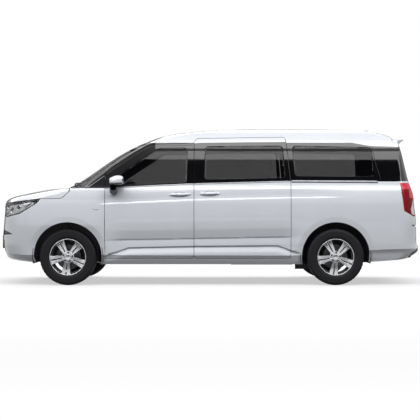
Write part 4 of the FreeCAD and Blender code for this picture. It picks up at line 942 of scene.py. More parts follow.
def fine(line, steps):
    """Divide every run of a line."""
    points = []
    for (ax, ay), (bx, by) in zip(line, line[1:]):
        points += [(ax + (bx - ax) * i / steps, ay + (by - ay) * i / steps) for i in range(steps)]
    return points + [line[-1]]


def both(name, bm, finishes, body, stands_for=(), roll=0, **settings):
    """The same solid piece on both sides."""
    for side, half in (("left", bm), ("right", mirrored(bm))):
        made = piece(name + "_" + side, half, finishes, body.replace("*", side),
                     [node.replace("*", side) for node in stands_for], **settings)
        if roll:
            edge_roll(made, roll, 2, 35)


print("surface check, roof height over the middle row:", round(on_top(0.6, 0).z, 3))

# %% [markdown]
# ## Front end
# The grille is a chrome frame round nine bright slats with thin dark uprights behind them; the lower intake
# has a diamond mesh. Slats are strips of the same skin, sunk a little, so they curve with the nose.

# %% Grille
FRONT_PATCH = cut(mm([(-2620, 340), (-2380, 340), (-2380, 1000), (-2620, 1000)]))
GRILLE_LOW, GRILLE_HIGH = .575, .948


def nose_strip(low, high, half, sunk):
    """The nose skin between two heights, sunk below the surface, both sides sewn."""
    bm = FRONT_PATCH.copy()
    trim(bm, FRONT_VIEW, [(-half, low), (.05, low), (.05, high), (-half, high)])
    bmesh.ops.remove_doubles(bm, verts=bm.verts, dist=1e-5)
    sink(bm, sunk)
    other_side(bm)
    return bm


def grille_half(z):
    return .452 + .015 * (z - GRILLE_LOW) / (GRILLE_HIGH - GRILLE_LOW)


def nose_rim(hole, outer, inner):
    """A rim of nose skin just inside a hole."""
    bm = FRONT_PATCH.copy()
    trim(bm, FRONT_VIEW, grow(hole, -outer))
    trim(bm, FRONT_VIEW, grow(hole, -inner), keep=False)
    other_side(bm)
    return bm


def nose_back(hole, gap, sunk):
    """A closing sheet that lies deep behind a hole."""
    bm = FRONT_PATCH.copy()
    trim(bm, FRONT_VIEW, grow(hole, gap))
    sink(bm, sunk)
    other_side(bm)
    return bm


panel("grille_frame", nose_rim(GRILLE_HOLE, .002, .024), [CHROME], "body", 0.03, slot="chrome_trim",
      roll=0.004)
panel("grille_back", nose_back(GRILLE_HOLE, -.003, .045), [GLOSS_BLACK], "body", 0.01, ("grille",),
      "chrome_trim", roll=0)
SLATS, SLAT_LOW, SLAT_HIGH, SLAT_HALF = 9, .618, .908, .006
for i in range(SLATS):
    z = SLAT_LOW + (SLAT_HIGH - SLAT_LOW) * i / (SLATS - 1)
    slat = nose_strip(z - SLAT_HALF, z + SLAT_HALF, grille_half(z) - .022, 0.010)
    panel("grille_slat_%d" % (i + 1), slat, [CHROME], "body", 0.026, slot="chrome_trim", roll=0.003)
uprights = bmesh.new()
for y in np.linspace(-.40, .40, 9):
    join(uprights, strip(on_nose, fine([(y, .585), (y, .940)], 8), .006, -.020, .044))
piece("grille_uprights", uprights, [GLOSS_BLACK], "body", slot="chrome_trim")

# %% Diamond mesh of the lower intake
def diamond_mesh(half, low, high, columns, rows, wire, sunk):
    """A grid whose cells become diamonds, turned into wires and laid on the nose."""
    bm = bmesh.new()
    bmesh.ops.create_grid(bm, x_segments=columns, y_segments=rows, size=1)
    old = list(bm.edges)
    bmesh.ops.poke(bm, faces=bm.faces)
    bmesh.ops.dissolve_edges(bm, edges=[e for e in old if len(e.link_faces) == 2], use_verts=False)
    bmesh.ops.wireframe(bm, faces=bm.faces, thickness=wire / half * 2, use_even_offset=True,
                        use_boundary=True)
    for vert in bm.verts:
        y, z = vert.co.x * half, low + (high - low) * (vert.co.y + 1) / 2
        vert.co = on_nose(max(-half, min(half, y)), max(low, min(high, z)), -sunk + vert.co.z * half * .5)
    return bm


piece("intake_mesh", diamond_mesh(.545, .366, .512, 44, 6, .0018, .030), [GLOSS_BLACK], "body")
panel("intake_back", nose_back(INTAKE_HOLE, .004, .05), [DARK_PLASTIC], "body", 0.008, roll=0)
panel("intake_rim", nose_rim(INTAKE_HOLE, .001, .012), [DARK_PLASTIC], "body", 0.045, roll=0.003)

# %% [markdown]
# ## Headlamps
# A clear outer lens follows the body. Under it lie a dark housing, a silver reflector bowl and four lens
# barrels, two that look outwards and two that look forwards, with a light guide along the lower edge.

# %% Headlamp lens, housing and inner parts
LENS = finish("clear lamp lens", (0.03, 0.033, 0.036), 0.02, alpha=0.13, coat=1.0, ior=1.5)
REFLECTOR = grain(mottle(finish("silver reflector", (0.62, 0.63, 0.65), 0.22, metallic=0.85), 30.0,
                         (0.50, 0.51, 0.53), (0.70, 0.71, 0.73)), 300.0, 0.08)
LAMP_GLOBE = finish("lens barrel glass", (0.02, 0.022, 0.028), 0.02, coat=1.0)
GUIDE = finish("light guide", (0.86, 0.88, 0.90), 0.25, coat=0.6, emission=(0.9, 0.93, 1.0, 0.15))


def lamp_region(shrink, sunk):
    bm = SKIN.copy()
    trim(bm, SIDE_VIEW, grow(HEADLAMP, -shrink))
    slice_at(bm, (0, -LAMP_INNER - shrink, 0), (0, 1, 0), clear_outer=True)
    sink(bm, sunk)
    return bm


pair("headlamp_lens", lamp_region(0.0015, 0.002), [LENS], "body", 0.003, slot="headlamp_lens", roll=0,
     stands_for=("headlamps",))
edge_ring = lamp_region(0.0015, 0.006)
trim(edge_ring, SIDE_VIEW, grow(HEADLAMP, -0.014), keep=False)
pair("headlamp_edge", edge_ring, [GLOSS_BLACK], "body", 0.05, roll=0)
pair("headlamp_housing", lamp_region(0.003, 0.062), [GLOSS_BLACK], "body", 0.008, roll=0)
pair("headlamp_reflector", lamp_region(0.020, 0.034), [REFLECTOR], "body", 0.006, roll=0.002)
guide_line = mm([(-2440, 838), (-2400, 838), (-2330, 846), (-2256, 872), (-2190, 905), (-2135, 946),
                 (-2080, 978)])
both("headlamp_guide", strip(on_side, fine(guide_line, 3), .012, -.008, .024), [GUIDE], "body")


def barrel(centre, turn, radius):
    """A lens barrel, turned forwards or outwards: a chrome cup with a dark glass dome."""
    cup = turned([(radius, .0), (radius * 1.18, .006), (radius * 1.22, -.004), (radius * 1.1, -.035),
                  (radius * .95, -.035), (radius * .95, -.006)], 36)
    dome = turned([(0, .010), (radius * .35, .0088), (radius * .65, .0055), (radius * .88, .001),
                   (radius * .95, -.006), (0, -.006)], 36, closed=False)
    return [moved(tilted(part, turn, "Z"), centre) for part in (cup, dome)]


cups, domes = bmesh.new(), bmesh.new()
for centre, turn, radius in ((on_side(-2.372, .905, -.030) + Vector((0, .012, 0)), -32, .036),
                             (on_side(-2.285, .935, -.030) + Vector((0, .004, 0)), -32, .028),
                             (on_nose(-.665, .905, -.026), -72, .034),
                             (on_nose(-.560, .905, -.026), -80, .034)):
    cup, dome = barrel(centre, turn, radius)
    join(cups, cup)
    join(domes, dome)
both("headlamp_cups", cups, [CHROME], "body")
both("headlamp_domes", domes, [LAMP_GLOBE], "body")

# %% [markdown]
# ## Cowl and wipers
# The black cowl closes the strip between the bonnet and the windscreen; two wiper arms lie on it.

# %% Cowl and front wipers
cowl_bm = SKIN.copy()
trim(cowl_bm, SIDE_VIEW, mm([(-1850, 1080), (-1380, 1080), (-1380, 1260), (-1850, 1260)]))
trim(cowl_bm, FRONT_VIEW, grow(WINDSCREEN, 0.002), keep=False)
trim(cowl_bm, TOP_VIEW, [(-2.2, 0.01), (-2.2, -0.97)] + [(x + .006, y) for x, y in BONNET_EDGE[:-1]]
     + [(BONNET_EDGE[-1][0] + .006, 0.01)], keep=False)
trim(cowl_bm, FRONT_VIEW, COWL)
sink(cowl_bm, 0.004)
other_side(cowl_bm)
panel("cowl_grille", cowl_bm, [DARK_PLASTIC], "body", 0.015, ("cowl",), "dark_plastic")


def wiper(pivot, tip_y, tip_z):
    """Pivot cap, arm and blade, laid on the windscreen."""
    bm = bmesh.new()
    y0, z0 = pivot
    base = on_nose(y0, z0, .004)
    mid = on_nose(y0 + (tip_y - y0) * .45, z0 + (tip_z - z0) * .55 + .010, .022)
    end = on_nose(y0 + (tip_y - y0) * .75, z0 + (tip_z - z0) * .75 + .008, .020)
    join(bm, tube([base - Vector((0, 0, .02)), base + Vector((-.006, 0, .012))], [.016, .013], 14))
    join(bm, tube([base + Vector((-.004, 0, .006)), mid, end], [.008, .007, .005], 8))
    blade = [on_nose(y0 + (tip_y - y0) * t, z0 + (tip_z - z0) * t + .004, .010)
             for t in np.linspace(.30, 1.18, 12)]
    join(bm, tube(blade, .006, 8))
    spine = [on_nose(y0 + (tip_y - y0) * t, z0 + (tip_z - z0) * t + .006, .016)
             for t in np.linspace(.45, 1.03, 8)]
    join(bm, tube(spine, .004, 8))
    return bm


wipers = wiper((-.60, 1.180), -.03, 1.226)
join(wipers, wiper((.02, 1.182), .56, 1.222))
piece("wipers_front", wipers, [DARK_PLASTIC], "body")
nozzles = bmesh.new()
for y in (-.34, .34):
    spot = on_top(-1.925, y, -.002)
    cap = turned([(0, .009), (.006, .008), (.011, .004), (.013, 0), (0, 0)], 20, closed=False)
    tilted(cap, -90, "X")
    bmesh.ops.scale(cap, vec=(1.4, .8, 1), verts=cap.verts)
    join(nozzles, moved(cap, spot))
piece("washer_nozzles", nozzles, [DARK_PLASTIC], "bonnet_lid")

# %% [markdown]
# ## Rear end
# The tail lamp is one lens in four tones over a dark housing. The spoiler is lofted across the car from a
# wing section, with the high brake light in its trailing edge.

# %% Tail lamps
RED_LENS = finish("deep red lens", (0.24, 0.0008, 0.006), 0.15, specular=0.15)
RED_BRIGHT = finish("bright red lens", (0.66, 0.016, 0.04), 0.12, coat=0.3,
                    emission=(0.9, 0.08, 0.14, 0.12), specular=0.15)
RED_MID = finish("red lens", (0.40, 0.003, 0.014), 0.2, specular=0.15)
LENS_WHITE = finish("clear reverse lens", (0.72, 0.70, 0.70), 0.08, coat=1.0)
lamp_bm = cut(TAIL_LAMP, away=[(FRONT_VIEW, grow(TAILGATE, 0.004), 1)])
trim(lamp_bm, SIDE_VIEW, grow(TAIL_LAMP, -0.0025))
BAND_TOP, BAND_LOW = 1.150, 1.046
LAMP_FOOT = [(2.329, .906), (2.450, .842), (2.62, .838)]
score_lines(lamp_bm, [[(2.2, BAND_TOP), (2.7, BAND_TOP)], [(2.322, 1.3), (2.352, .88)],
                      [(2.398, 1.3), (2.402, .80)], [(2.2, BAND_LOW), (2.7, BAND_LOW)], LAMP_FOOT])
REVERSE_LAMP = rounded(mm([(-925, 838), (-812, 838), (-812, 1024), (-862, 1024), (-925, 912)]), .008)
score(lamp_bm, FRONT_VIEW, REVERSE_LAMP, end=1)


def lamp_tone(c):
    if c.z > BAND_TOP:
        return 1
    if c.z < height_of(LAMP_FOOT, c.x):
        return 0
    if c.x < 2.322 + (1.3 - c.z) * .071:
        return 2
    if inside(np.array([[c.y, c.z]]), REVERSE_LAMP)[0] and c.x > 2.38:
        return 3
    return 1 if c.z > BAND_LOW and c.x > 2.400 else 0


paint_by(lamp_bm, lamp_tone)
pair("tail_lamp", lamp_bm, [RED_LENS, RED_BRIGHT, RED_MID, LENS_WHITE], "body", 0.02, slot="red_lens",
     stands_for=("tail_lamps",), roll=0.002)
lamp_pan = cut(grow(TAIL_LAMP, 0.004), away=[(FRONT_VIEW, grow(TAILGATE, 0.001), 1)])
sink(lamp_pan, 0.022)
pair("tail_lamp_housing", lamp_pan, [GLOSS_BLACK], "body", 0.03, roll=0)
ribs = bmesh.new()
for z in (1.115, 1.075, 1.035, .995, .955, .915):
    join(ribs, strip(on_side, [(2.352 + (1.3 - z) * .03, z), (2.372, z), (2.392, z)], .004, .0015, .004))
both("tail_lamp_ribs", ribs, [RED_MID], "body")

# %% Spoiler and high brake light
SPOILER = mm([(2221, 1794), (2300, 1789), (2372, 1778), (2394, 1770), (2388, 1752), (2330, 1702),
              (2276, 1700), (2230, 1742)])
SPOILER_ROOT, SPOILER_MID = 2.226, 1.75
rings = []
for y, share, drop in ((-.735, .30, .028), (-.700, .62, .014), (-.640, .90, .004), (-.50, 1, 0),
                       (-.25, 1, -.003), (0, 1.01, -.004), (.25, 1, -.003), (.50, 1, 0), (.640, .90, .004),
                       (.700, .62, .014), (.735, .30, .028)):
    rings.append([(SPOILER_ROOT + (x - SPOILER_ROOT) * share, y,
                   SPOILER_MID + (z - SPOILER_MID) * (.55 + .45 * share) - drop) for x, z in SPOILER])
edge_roll(piece("spoiler", loft(rings), [PAINT], "tailgate_lid", slot="body_paint"), 0.006, 3, 25)
brake = loft([[(2.392, y, 1.7705), (2.3955, y, 1.7685), (2.3925, y, 1.756), (2.386, y, 1.756)]
              for y in (-.20, -.1, 0, .1, .20)])
piece("high_brake_light", brake, [RED_MID], "tailgate_lid", slot="red_lens")

# %% Bright strip and number plates
gate_trim = strip(on_tail, [(y, 1.172) for y in np.linspace(-.70, .70, 29)], .026, .007, .004)
piece("tailgate_strip", gate_trim, [CHROME], "tailgate_lid", slot="chrome_trim")
hood = strip(on_tail, [(y, 1.106) for y in np.linspace(-.27, .27, 13)], .018, .016, .006)
piece("plate_lamp_hood", hood, [GLOSS_BLACK], "tailgate_lid")
PLATE_WHITE = grain(mottle(finish("plate white", (0.74, 0.75, 0.76), 0.4), 25.0, (0.70, 0.71, 0.72),
                           (0.78, 0.79, 0.80)), 300.0, 0.05)


PLATE_FRAME, PLATE_SIZE = (.010, .456, .156), (.003, .440, .140)


def plate(face_x, middle_z, sign):
    """A blank plate in a thin dark frame with two screws; sign is 1 on the tail and -1 on the nose."""
    frame_bm, plate_bm = bmesh.new(), bmesh.new()
    block(frame_bm, (face_x - sign * .004, 0, middle_z), PLATE_FRAME)
    block(plate_bm, (face_x + sign * .0015, 0, middle_z), PLATE_SIZE)
    corners = [e for e in plate_bm.edges if abs(e.verts[0].co.x - e.verts[1].co.x) > .001]
    bmesh.ops.bevel(plate_bm, geom=corners, offset=.010, segments=4, profile=.5, affect="EDGES", material=-1)
    rim = max(plate_bm.faces, key=lambda f: f.calc_area() * (1 if f.normal.x * sign > 0 else 0))
    bmesh.ops.inset_region(plate_bm, faces=[rim], thickness=.005, depth=-.0008)
    for y in (-.16, .16):
        bolt = turned([(0, .0035), (.004, .0032), (.006, .001), (.006, 0), (0, 0)], 16, closed=False)
        join(frame_bm, moved(tilted(bolt, 90 * sign, "Z"), (face_x + sign * .002, y, middle_z + .048)))
    return frame_bm, plate_bm


for name, body, place, middle_z, sunk, sign in (("rear", "tailgate_lid", on_tail, 1.000, -.014, 1),
                                                ("front", "body", on_nose, .500, -.006, -1)):
    frame_bm, plate_bm = plate(place(0, middle_z, sunk).x + sign * .004, middle_z, sign)
    edge_roll(piece(name + "_plate_frame", frame_bm, [DARK_PLASTIC], body), .003)
    piece(name + "_plate", plate_bm, [PLATE_WHITE], body, smooth=False)

# %% Rear wiper
pivot = on_tail(0, 1.268, 0)
rear_wiper = tube([pivot - Vector((.02, 0, 0)), pivot + Vector((.030, 0, .004))], [.024, .017], 20)
join(rear_wiper, tube([pivot + Vector((.026, 0, .002)), on_tail(-.12, 1.290, .030),
                       on_tail(-.26, 1.312, .018)], [.010, .008, .005], 10))
join(rear_wiper, tube([on_tail(y, 1.300 + .05 * (-y - .10) / .34, .009) for y in np.linspace(-.10, -.44, 9)],
                      .0065, 8))
piece("wiper_rear", rear_wiper, [DARK_PLASTIC], "tailgate_lid")

# %% Bumper step, reflectors and bright line
step_pad = strip(on_tail, [(y, .768) for y in np.linspace(-.66, .66, 27)], .020, .003, .004)
piece("bumper_step", step_pad, [DARK_PLASTIC], "body")
reflectors = strip(on_tail, [(y, .505) for y in np.linspace(-.72, -.56, 9)], .026, .003, .004)
both("bumper_reflector", reflectors, [RED_MID], "body")
lip_rear = strip(on_tail, [(y, .472) for y in np.linspace(-.80, .80, 41)], .016, .006, .004)
piece("bumper_chrome", lip_rear, [CHROME], "body")

# %% [markdown]
# ## Trim on the sides
# Bright and dark strips, door handles, mirrors and the roof fin are small, but they give the car its scale.

# %% Strips along the windows
SATIN = grain(mottle(finish("satin grey trim", (0.36, 0.37, 0.39), 0.35, metallic=0.6), 30.0,
                     (0.32, 0.33, 0.35), (0.41, 0.42, 0.44)), 700.0, 0.05)
PILLAR_LINE = mm([(-1460, 1154), (-1300, 1270), (-1246, 1307)])
DOOR_LINE = mm([(-1224, 1323), (-1140, 1383), (-1074, 1429), (-900, 1548), (-800, 1614), (-720, 1655),
                (-640, 1668), (-400, 1676), (-190, 1684)])
both("pillar_line", strip(on_side, fine(PILLAR_LINE, 4), .005, .003, .003), [SATIN], "body")
both("door_window_line", strip(on_side, fine(DOOR_LINE, 4), .004, .002, .003), [DARK_PLASTIC],
     "front_door_*")


def belt_strip(front, rear, count, drop, width, lift):
    """A strip that runs a little below the belt line."""
    line = [(x, height_of(BELT, x) - drop) for x in np.linspace(front, rear, count)]
    return strip(on_side, line, width, lift, .003)


both("belt_strip_front", belt_strip(-1.226, -.180, 24, .004, .014, .005), [SATIN], "front_door_*")
both("belt_strip_sliding", belt_strip(-.164, .972, 26, .004, .014, .005), [SATIN], "body")
both("rail_cover", belt_strip(.992, 2.020, 24, .002, .020, .006), [SATIN], "body")
both("rail_slot", belt_strip(.992, 2.030, 24, .017, .007, .001), [DARK_PLASTIC], "body")

# %% Pillar seams in the black band
seams = bmesh.new()
join(seams, strip(on_side, mm([(1994, 1500), (1984, 1585), (1975, 1660)]), .006, .0012, .003))
join(seams, strip(on_side, mm([(2060, 1252), (2040, 1340), (2010, 1440), (1994, 1500)]), .003, .0010, .003))
both("quarter_seam", seams, [DARK_PLASTIC], "body")

# %% Door handles: bowl and grip
def handle(x_front, x_rear, z_front, z_rear):
    """The grip bar with its ends let down to the skin, and the bowl behind it."""
    def level(x):
        return z_front + (z_rear - z_front) * (x - x_front) / (x_rear - x_front)

    grip_rings = []
    count = 15
    for i in range(count):
        t = i / (count - 1)
        x = x_front + .006 + (x_rear - x_front - .012) * t
        lift = .007 + .016 * math.sin(math.pi * min(1, max(0, (t - .04) / .92)))**.55
        half = .0135 * (0.50 + .50 * math.sin(math.pi * t)**.45)
        deep = .010 if .16 < t < .84 else lift + .004
        ring = []
        for a in angles(12):
            across, out = math.cos(a) * half, math.sin(a)
            ring.append(on_side(x, level(x) + across, lift - .004 + (.0055 if out > 0 else deep * .5) * out))
        grip_rings.append(ring)
    grip = loft(grip_rings)
    middle_x = (x_front + x_rear) / 2
    bowl_rings = []
    for share, out in ((1.0, .0012), (.90, .0028), (.80, -.0002), (.45, -.004), (.12, -.0055)):
        edge = ellipse((middle_x, level(middle_x) - .001), (.088 * share, .031 * share), 28)
        bowl_rings.append([on_side(x, z, out) for x, z in edge])
    return grip, loft(bowl_rings, cap=False)


# The bowl's finish is a mid grey, far darker than the white body paint: painted shade for the recess behind
# the grip.
BOWL_PAINTED_SHADE = grain(mottle(finish("handle bowl painted shade", (0.42, 0.43, 0.45), 0.35, coat=0.6), 12.0,
                         (0.38, 0.39, 0.41), (0.46, 0.47, 0.49)), 600.0, 0.03)
for name, span, levels, body in (("front", (-.470, -.209), (1.082, 1.090), "front_door_*"),
                                 ("sliding", (-.108, .137), (1.093, 1.098), "body")):
    grip, bowl = handle(*span, *levels)
    both("handle_bowl_" + name, bowl, [BOWL_PAINTED_SHADE], body)
    both("handle_" + name, grip, [PAINT], body, slot="body_paint")
    accent = strip(on_side, [(x, levels[0] + .003) for x in np.linspace(span[0] + .05, span[1] - .05, 9)],
                   .005, .0245, .002)
    both("handle_accent_" + name, accent, [CHROME], body, slot="chrome_trim")

# %% Mirrors
def boxy(value, power):
    """Push a sine or cosine outwards, so that a circle turns into a soft rectangle."""
    return math.copysign(abs(value)**power, value)


def mirror_ring(y, x0, x1, z0, z1):
    """A soft rectangle, slightly higher at its rear edge."""
    ring = []
    for a in angles(24):
        u, v = boxy(math.cos(a), .42), boxy(math.sin(a), .42)
        x = (x0 + x1) / 2 + u * (x1 - x0) / 2
        lean = .030 * max(0, -u) * max(0, v) + .010 * max(0, -u) * max(0, -v)
        z = (z0 + z1) / 2 + v * (z1 - z0) / 2 - math.copysign(lean, v)
        ring.append((x, -y, z))
    return ring


MIRROR_SPLIT_X, MIRROR_SPLIT_Z, MIRROR_SPLIT_RISE = -1.177, 1.2135, .075
head = loft([mirror_ring(*section) for section in (
    (.968, -1.135, -1.040, 1.215, 1.275), (.975, -1.158, -1.022, 1.203, 1.290),
    (.995, -1.170, -1.014, 1.195, 1.302), (1.045, -1.176, -1.010, 1.192, 1.309),
    (1.090, -1.170, -1.012, 1.196, 1.304), (1.116, -1.152, -1.018, 1.206, 1.290),
    (1.128, -1.120, -1.035, 1.222, 1.268))])
slice_at(head, (MIRROR_SPLIT_X, 0, MIRROR_SPLIT_Z), (-MIRROR_SPLIT_RISE, 0, 1))
for face in head.faces:
    c = face.calc_center_median()
    painted = c.z - MIRROR_SPLIT_Z > MIRROR_SPLIT_RISE * (c.x - MIRROR_SPLIT_X)
    faces_back = face.normal.x > .90 and c.x > -1.02
    face.material_index = 0 if painted and not faces_back else 1
both("mirror_head", head, [PAINT, GLOSS_BLACK], "front_door_*", stands_for=("mirror_*",), slot="body_paint")
glass = loft([[(x, -1.047 + boxy(math.cos(a), .5) * .064, 1.250 + boxy(math.sin(a), .5) * .044)
               for a in angles(28)] for x in (-1.012, -1.0085)])
MIRROR_GLASS = finish("mirror silver", (0.75, 0.77, 0.79), 0.02, metallic=1.0)
both("mirror_glass", glass, [MIRROR_GLASS], "front_door_*")


def soft_ring(centre, half, across):
    """An upright soft ring whose width runs along across."""
    return [Vector(centre) + Vector(across) * boxy(math.cos(a), .7) * half[0]
            + Vector((0, 0, 1)) * boxy(math.sin(a), .7) * half[1] for a in angles(16)]


foot_at = on_side(-1.120, 1.150, 0)
arm = loft([soft_ring(foot_at + Vector(shift), half, (1, 0, 0)) for shift, half in (
    ((0, .004, -.006), (.036, .050)), ((0, -.018, -.008), (.042, .056)),
    ((-.008, -.045, -.006), (.047, .062)), ((-.010, -.075, .004), (.045, .062)),
    ((-.008, -.105, .026), (.038, .044)))])
both("mirror_arm", arm, [GLOSS_BLACK], "front_door_*", roll=.003)

# %% Fender sliver and roof fin
mark = strip(on_side, mm([(-1388, 922), (-1362, 912), (-1330, 905), (-1298, 912)]),
             [.002, .009, .011, .003], .003, .003)
both("fender_mark", mark, [SATIN], "body")
fin = []
for z, front, rear, half in ((1.872, 1.880, 2.040, .034), (1.882, 1.886, 2.038, .032),
                             (1.893, 1.925, 2.036, .021), (1.906, 1.962, 2.034, .013),
                             (1.918, 1.990, 2.029, .008), (1.9255, 2.008, 2.022, .004)):
    middle, reach = (front + rear) / 2, (rear - front) / 2
    fin.append([(middle + math.cos(a) * reach, math.sin(a) * half, z) for a in angles(24)])
piece("roof_fin", loft(fin), [PAINT], "body", slot="body_paint")

# %% [markdown]
# ## Pillars and wheel housings
# Behind the doors stand the inner pillars, cut from a deeper copy of the skin. The housings over all four
# wheels are spun and cut off near the lower edge of the sill, and keep the arches dark inside.

# %% Inner pillars
def sink_by_height(bm, low_depth, high_depth):
    bm.normal_update()
    for vert, normal in [(v, v.normal.copy()) for v in bm.verts]:
        vert.co -= normal * (low_depth + (high_depth - low_depth) * waist_share(vert.co.z))


pillar = cut(mm([(-235, 330), (-105, 330), (-110, 1745), (-240, 1700)]))
sink_by_height(pillar, .093, .052)
pair("pillar_inner", pillar, [TRIM_DARK], "body", .035, roll=.004)
rail = cut(mm([(-900, 1640), (-780, 1672), (2100, 1690), (2100, 1740), (-780, 1745)]))
sink(rail, .050)
pair("cant_rail_inner", rail, [TRIM_DARK], "body", .03, roll=.004)

# %% Wheel housings
HOUSING_IN, HOUSING_OUT, HOUSING_LOW = .417, .423, .262


def housing(section, axle, closed):
    """A spun housing round an axle, cut off at its lower edge."""
    bm = moved(turned(section, 72, closed), (axle, -WHEEL_Y, ARCH_Z))
    slice_at(bm, (0, 0, HOUSING_LOW), (0, 0, 1), clear_inner=True)
    return bm


rear = housing([(HOUSING_IN, .10), (HOUSING_IN, -.195), (.110, -.195), (.110, -.201), (HOUSING_OUT, -.201),
                (HOUSING_OUT, .10)], REAR_AXLE, True)
both("rear_housing", rear, [DARK_PLASTIC], "body")
inner = .500 - WHEEL_Y
front = housing([(0, inner), (HOUSING_IN, inner), (HOUSING_IN, .112), (HOUSING_OUT, .112),
                 (HOUSING_OUT, inner - .006), (0, inner - .006)], FRONT_AXLE, False)
both("front_housing", front, [DARK_PLASTIC], "body")

# %% [markdown]
# ## CAD parts that keep their shape
# Chassis parts under the floor are right as they are; they only get a material.

# %% Finishes for carried-over nodes
CAST = grain(mottle(finish("cast metal", (0.11, 0.11, 0.115), 0.5, metallic=0.5), 30.0, (0.08, 0.08, 0.085),
                    (0.26, 0.26, 0.265)), 400.0, 0.3)
PIPE_STEEL = grain(mottle(finish("exhaust steel", (0.30, 0.29, 0.28), 0.4, metallic=0.9), 12.0,
                          (0.24, 0.22, 0.20), (0.36, 0.35, 0.34)), 300.0, 0.2)
CARPET = grain(mottle(finish("cabin carpet", (0.030, 0.030, 0.032), 0.95, sheen=0.3), 180.0,
                      (0.020, 0.020, 0.022), (0.045, 0.045, 0.048)), 1500.0, 0.6, 0.002)


def dress(node, look):
    """Give every material slot of a CAD node one finish."""
    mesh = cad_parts[node].data
    if not mesh.materials:
        mesh.materials.append(look)
    for i in range(len(mesh.materials)):
        mesh.materials[i] = look


for node, look in (("floor_pan", CARPET), ("front_subframe", UNDERBODY), ("fuel_tank", UNDERBODY),
                   ("wheel_liner_left", DARK_PLASTIC), ("wheel_liner_right", DARK_PLASTIC),
                   ("rear_axle", UNDERBODY), ("knuckle_left", CAST), ("knuckle_right", CAST),
                   ("exhaust", PIPE_STEEL), ("engine_block", CAST)):
    dress(node, look)
print("carried-over nodes dressed")

# %% [markdown]
# ## Cabin: dashboard, wheel and console
# The dashboard is lofted across the car, with a hood over the instruments and a screen in the middle.

# %% Dashboard
SOFT_TRIM = grain(mottle(finish("soft dashboard skin", (0.035, 0.034, 0.034), 0.62), 14.0,
                         (0.030, 0.029, 0.029), (0.042, 0.040, 0.040)), 1100.0, 0.35)
SCREEN = finish("dark screen glass", (0.006, 0.007, 0.010), 0.06, coat=1.0)


def dash_ring(y, hood):
    return [(-1.290, y, .830), (-1.040, y, .835), (-.992, y, .900), (-.990, y, .955), (-1.030, y, 1.010),
            (-1.040 + .030 * hood, y, 1.075 + .010 * hood), (-1.055 + .050 * hood, y, 1.108 + .018 * hood),
            (-1.110 + .020 * hood, y, 1.118 + .012 * hood), (-1.200, y, 1.122), (-1.290, y, 1.124)]


dash = loft([dash_ring(y, hood) for y, hood in (
    (-.815, 0), (-.70, 0), (-.60, .15), (-.55, .9), (-.48, 1), (-.32, 1), (-.25, .9), (-.20, .15), (-.10, 0),
    (.2, 0), (.5, 0), (.815, 0))])
edge_roll(piece("dashboard_top", dash, [SOFT_TRIM], "body", stands_for=("dashboard",),
                slot="interior_plastic"), .012, 3, 30)


def soft_box_mesh(low, high, bevel, segments=3):
    """A block with rolled edges between two corners."""
    bm = bmesh.new()
    middle = [(a + b) / 2 for a, b in zip(low, high)]
    size = [abs(b - a) for a, b in zip(low, high)]
    block(bm, middle, size)
    bmesh.ops.bevel(bm, geom=bm.edges[:], offset=bevel, segments=segments, profile=.5, affect="EDGES",
                    material=-1)
    return bm


screen = soft_box_mesh((-1.030, -.13, .985), (-1.015, .15, 1.165), .004)
piece("dash_screen", tilted(screen, -14, centre=(-1.02, 0, 1.07)), [SCREEN], "body")
cluster = soft_box_mesh((-1.046, -.54, .985), (-1.030, -.26, 1.085), .004)
piece("instrument_panel", tilted(cluster, -20, centre=(-1.04, 0, 1.03)), [SCREEN], "body")
vents = bmesh.new()
for y in (-.715, -.235, .245, .715):
    join(vents, soft_box_mesh((-1.020, y - .045, .955), (-.990, y + .045, .990), .004))
    for i in range(3):
        fin_low, fin_high = (-.996, y - .040, .962 + i * .009), (-.986, y + .040, .965 + i * .009)
        join(vents, soft_box_mesh(fin_low, fin_high, .0008, 1))
piece("dash_vents", vents, [GLOSS_BLACK], "body")


def on_dash(y, z, out=0.0):
    return Vector((-.990 + out + .0005, y, z))


box_line = strip(on_dash, [(y, .905) for y in (.22, .50, .72)], .004, .0015, .002)
piece("glovebox_line", box_line, [SATIN], "body")

# %% Console, gear lever and pedals
console = loft([[(x, -w, low), (x, w, low), (x, w, top - .03), (x, w * .7, top), (x, -w * .7, top),
                 (x, -w, top - .03)] for x, w, low, top in (
    (-1.05, .12, .305, .84), (-.98, .12, .305, .80), (-.90, .11, .305, .66), (-.78, .10, .305, .58),
    (-.45, .10, .305, .57), (-.36, .095, .305, .55))])
edge_roll(piece("centre_console", console, [SOFT_TRIM], "body"), .010, 3, 30)
lever = tube([(-.80, 0, .57), (-.79, 0, .62), (-.775, 0, .655)], [.010, .009, .009], 12)
knob = turned([(0, .030), (.014, .027), (.021, .015), (.020, .0), (.012, -.016), (0, -.018)], 24,
              closed=False)
piece("gear_lever", join(lever, moved(tilted(knob, -90, "X"), (-.772, 0, .668))), [GLOSS_BLACK], "body")
pedals = bmesh.new()
for y, w in ((-.47, .040), (-.36, .022)):
    pad = soft_box_mesh((-1.185, y - w, .42), (-1.172, y + w, .48), .004)
    join(pedals, tilted(pad, 35, centre=(-1.18, y, .45)))
    join(pedals, tube([(-1.175, y, .47), (-1.20, y, .60), (-1.23, y, .80)], .007, 8))
piece("pedals", pedals, [DARK_PLASTIC], "body")

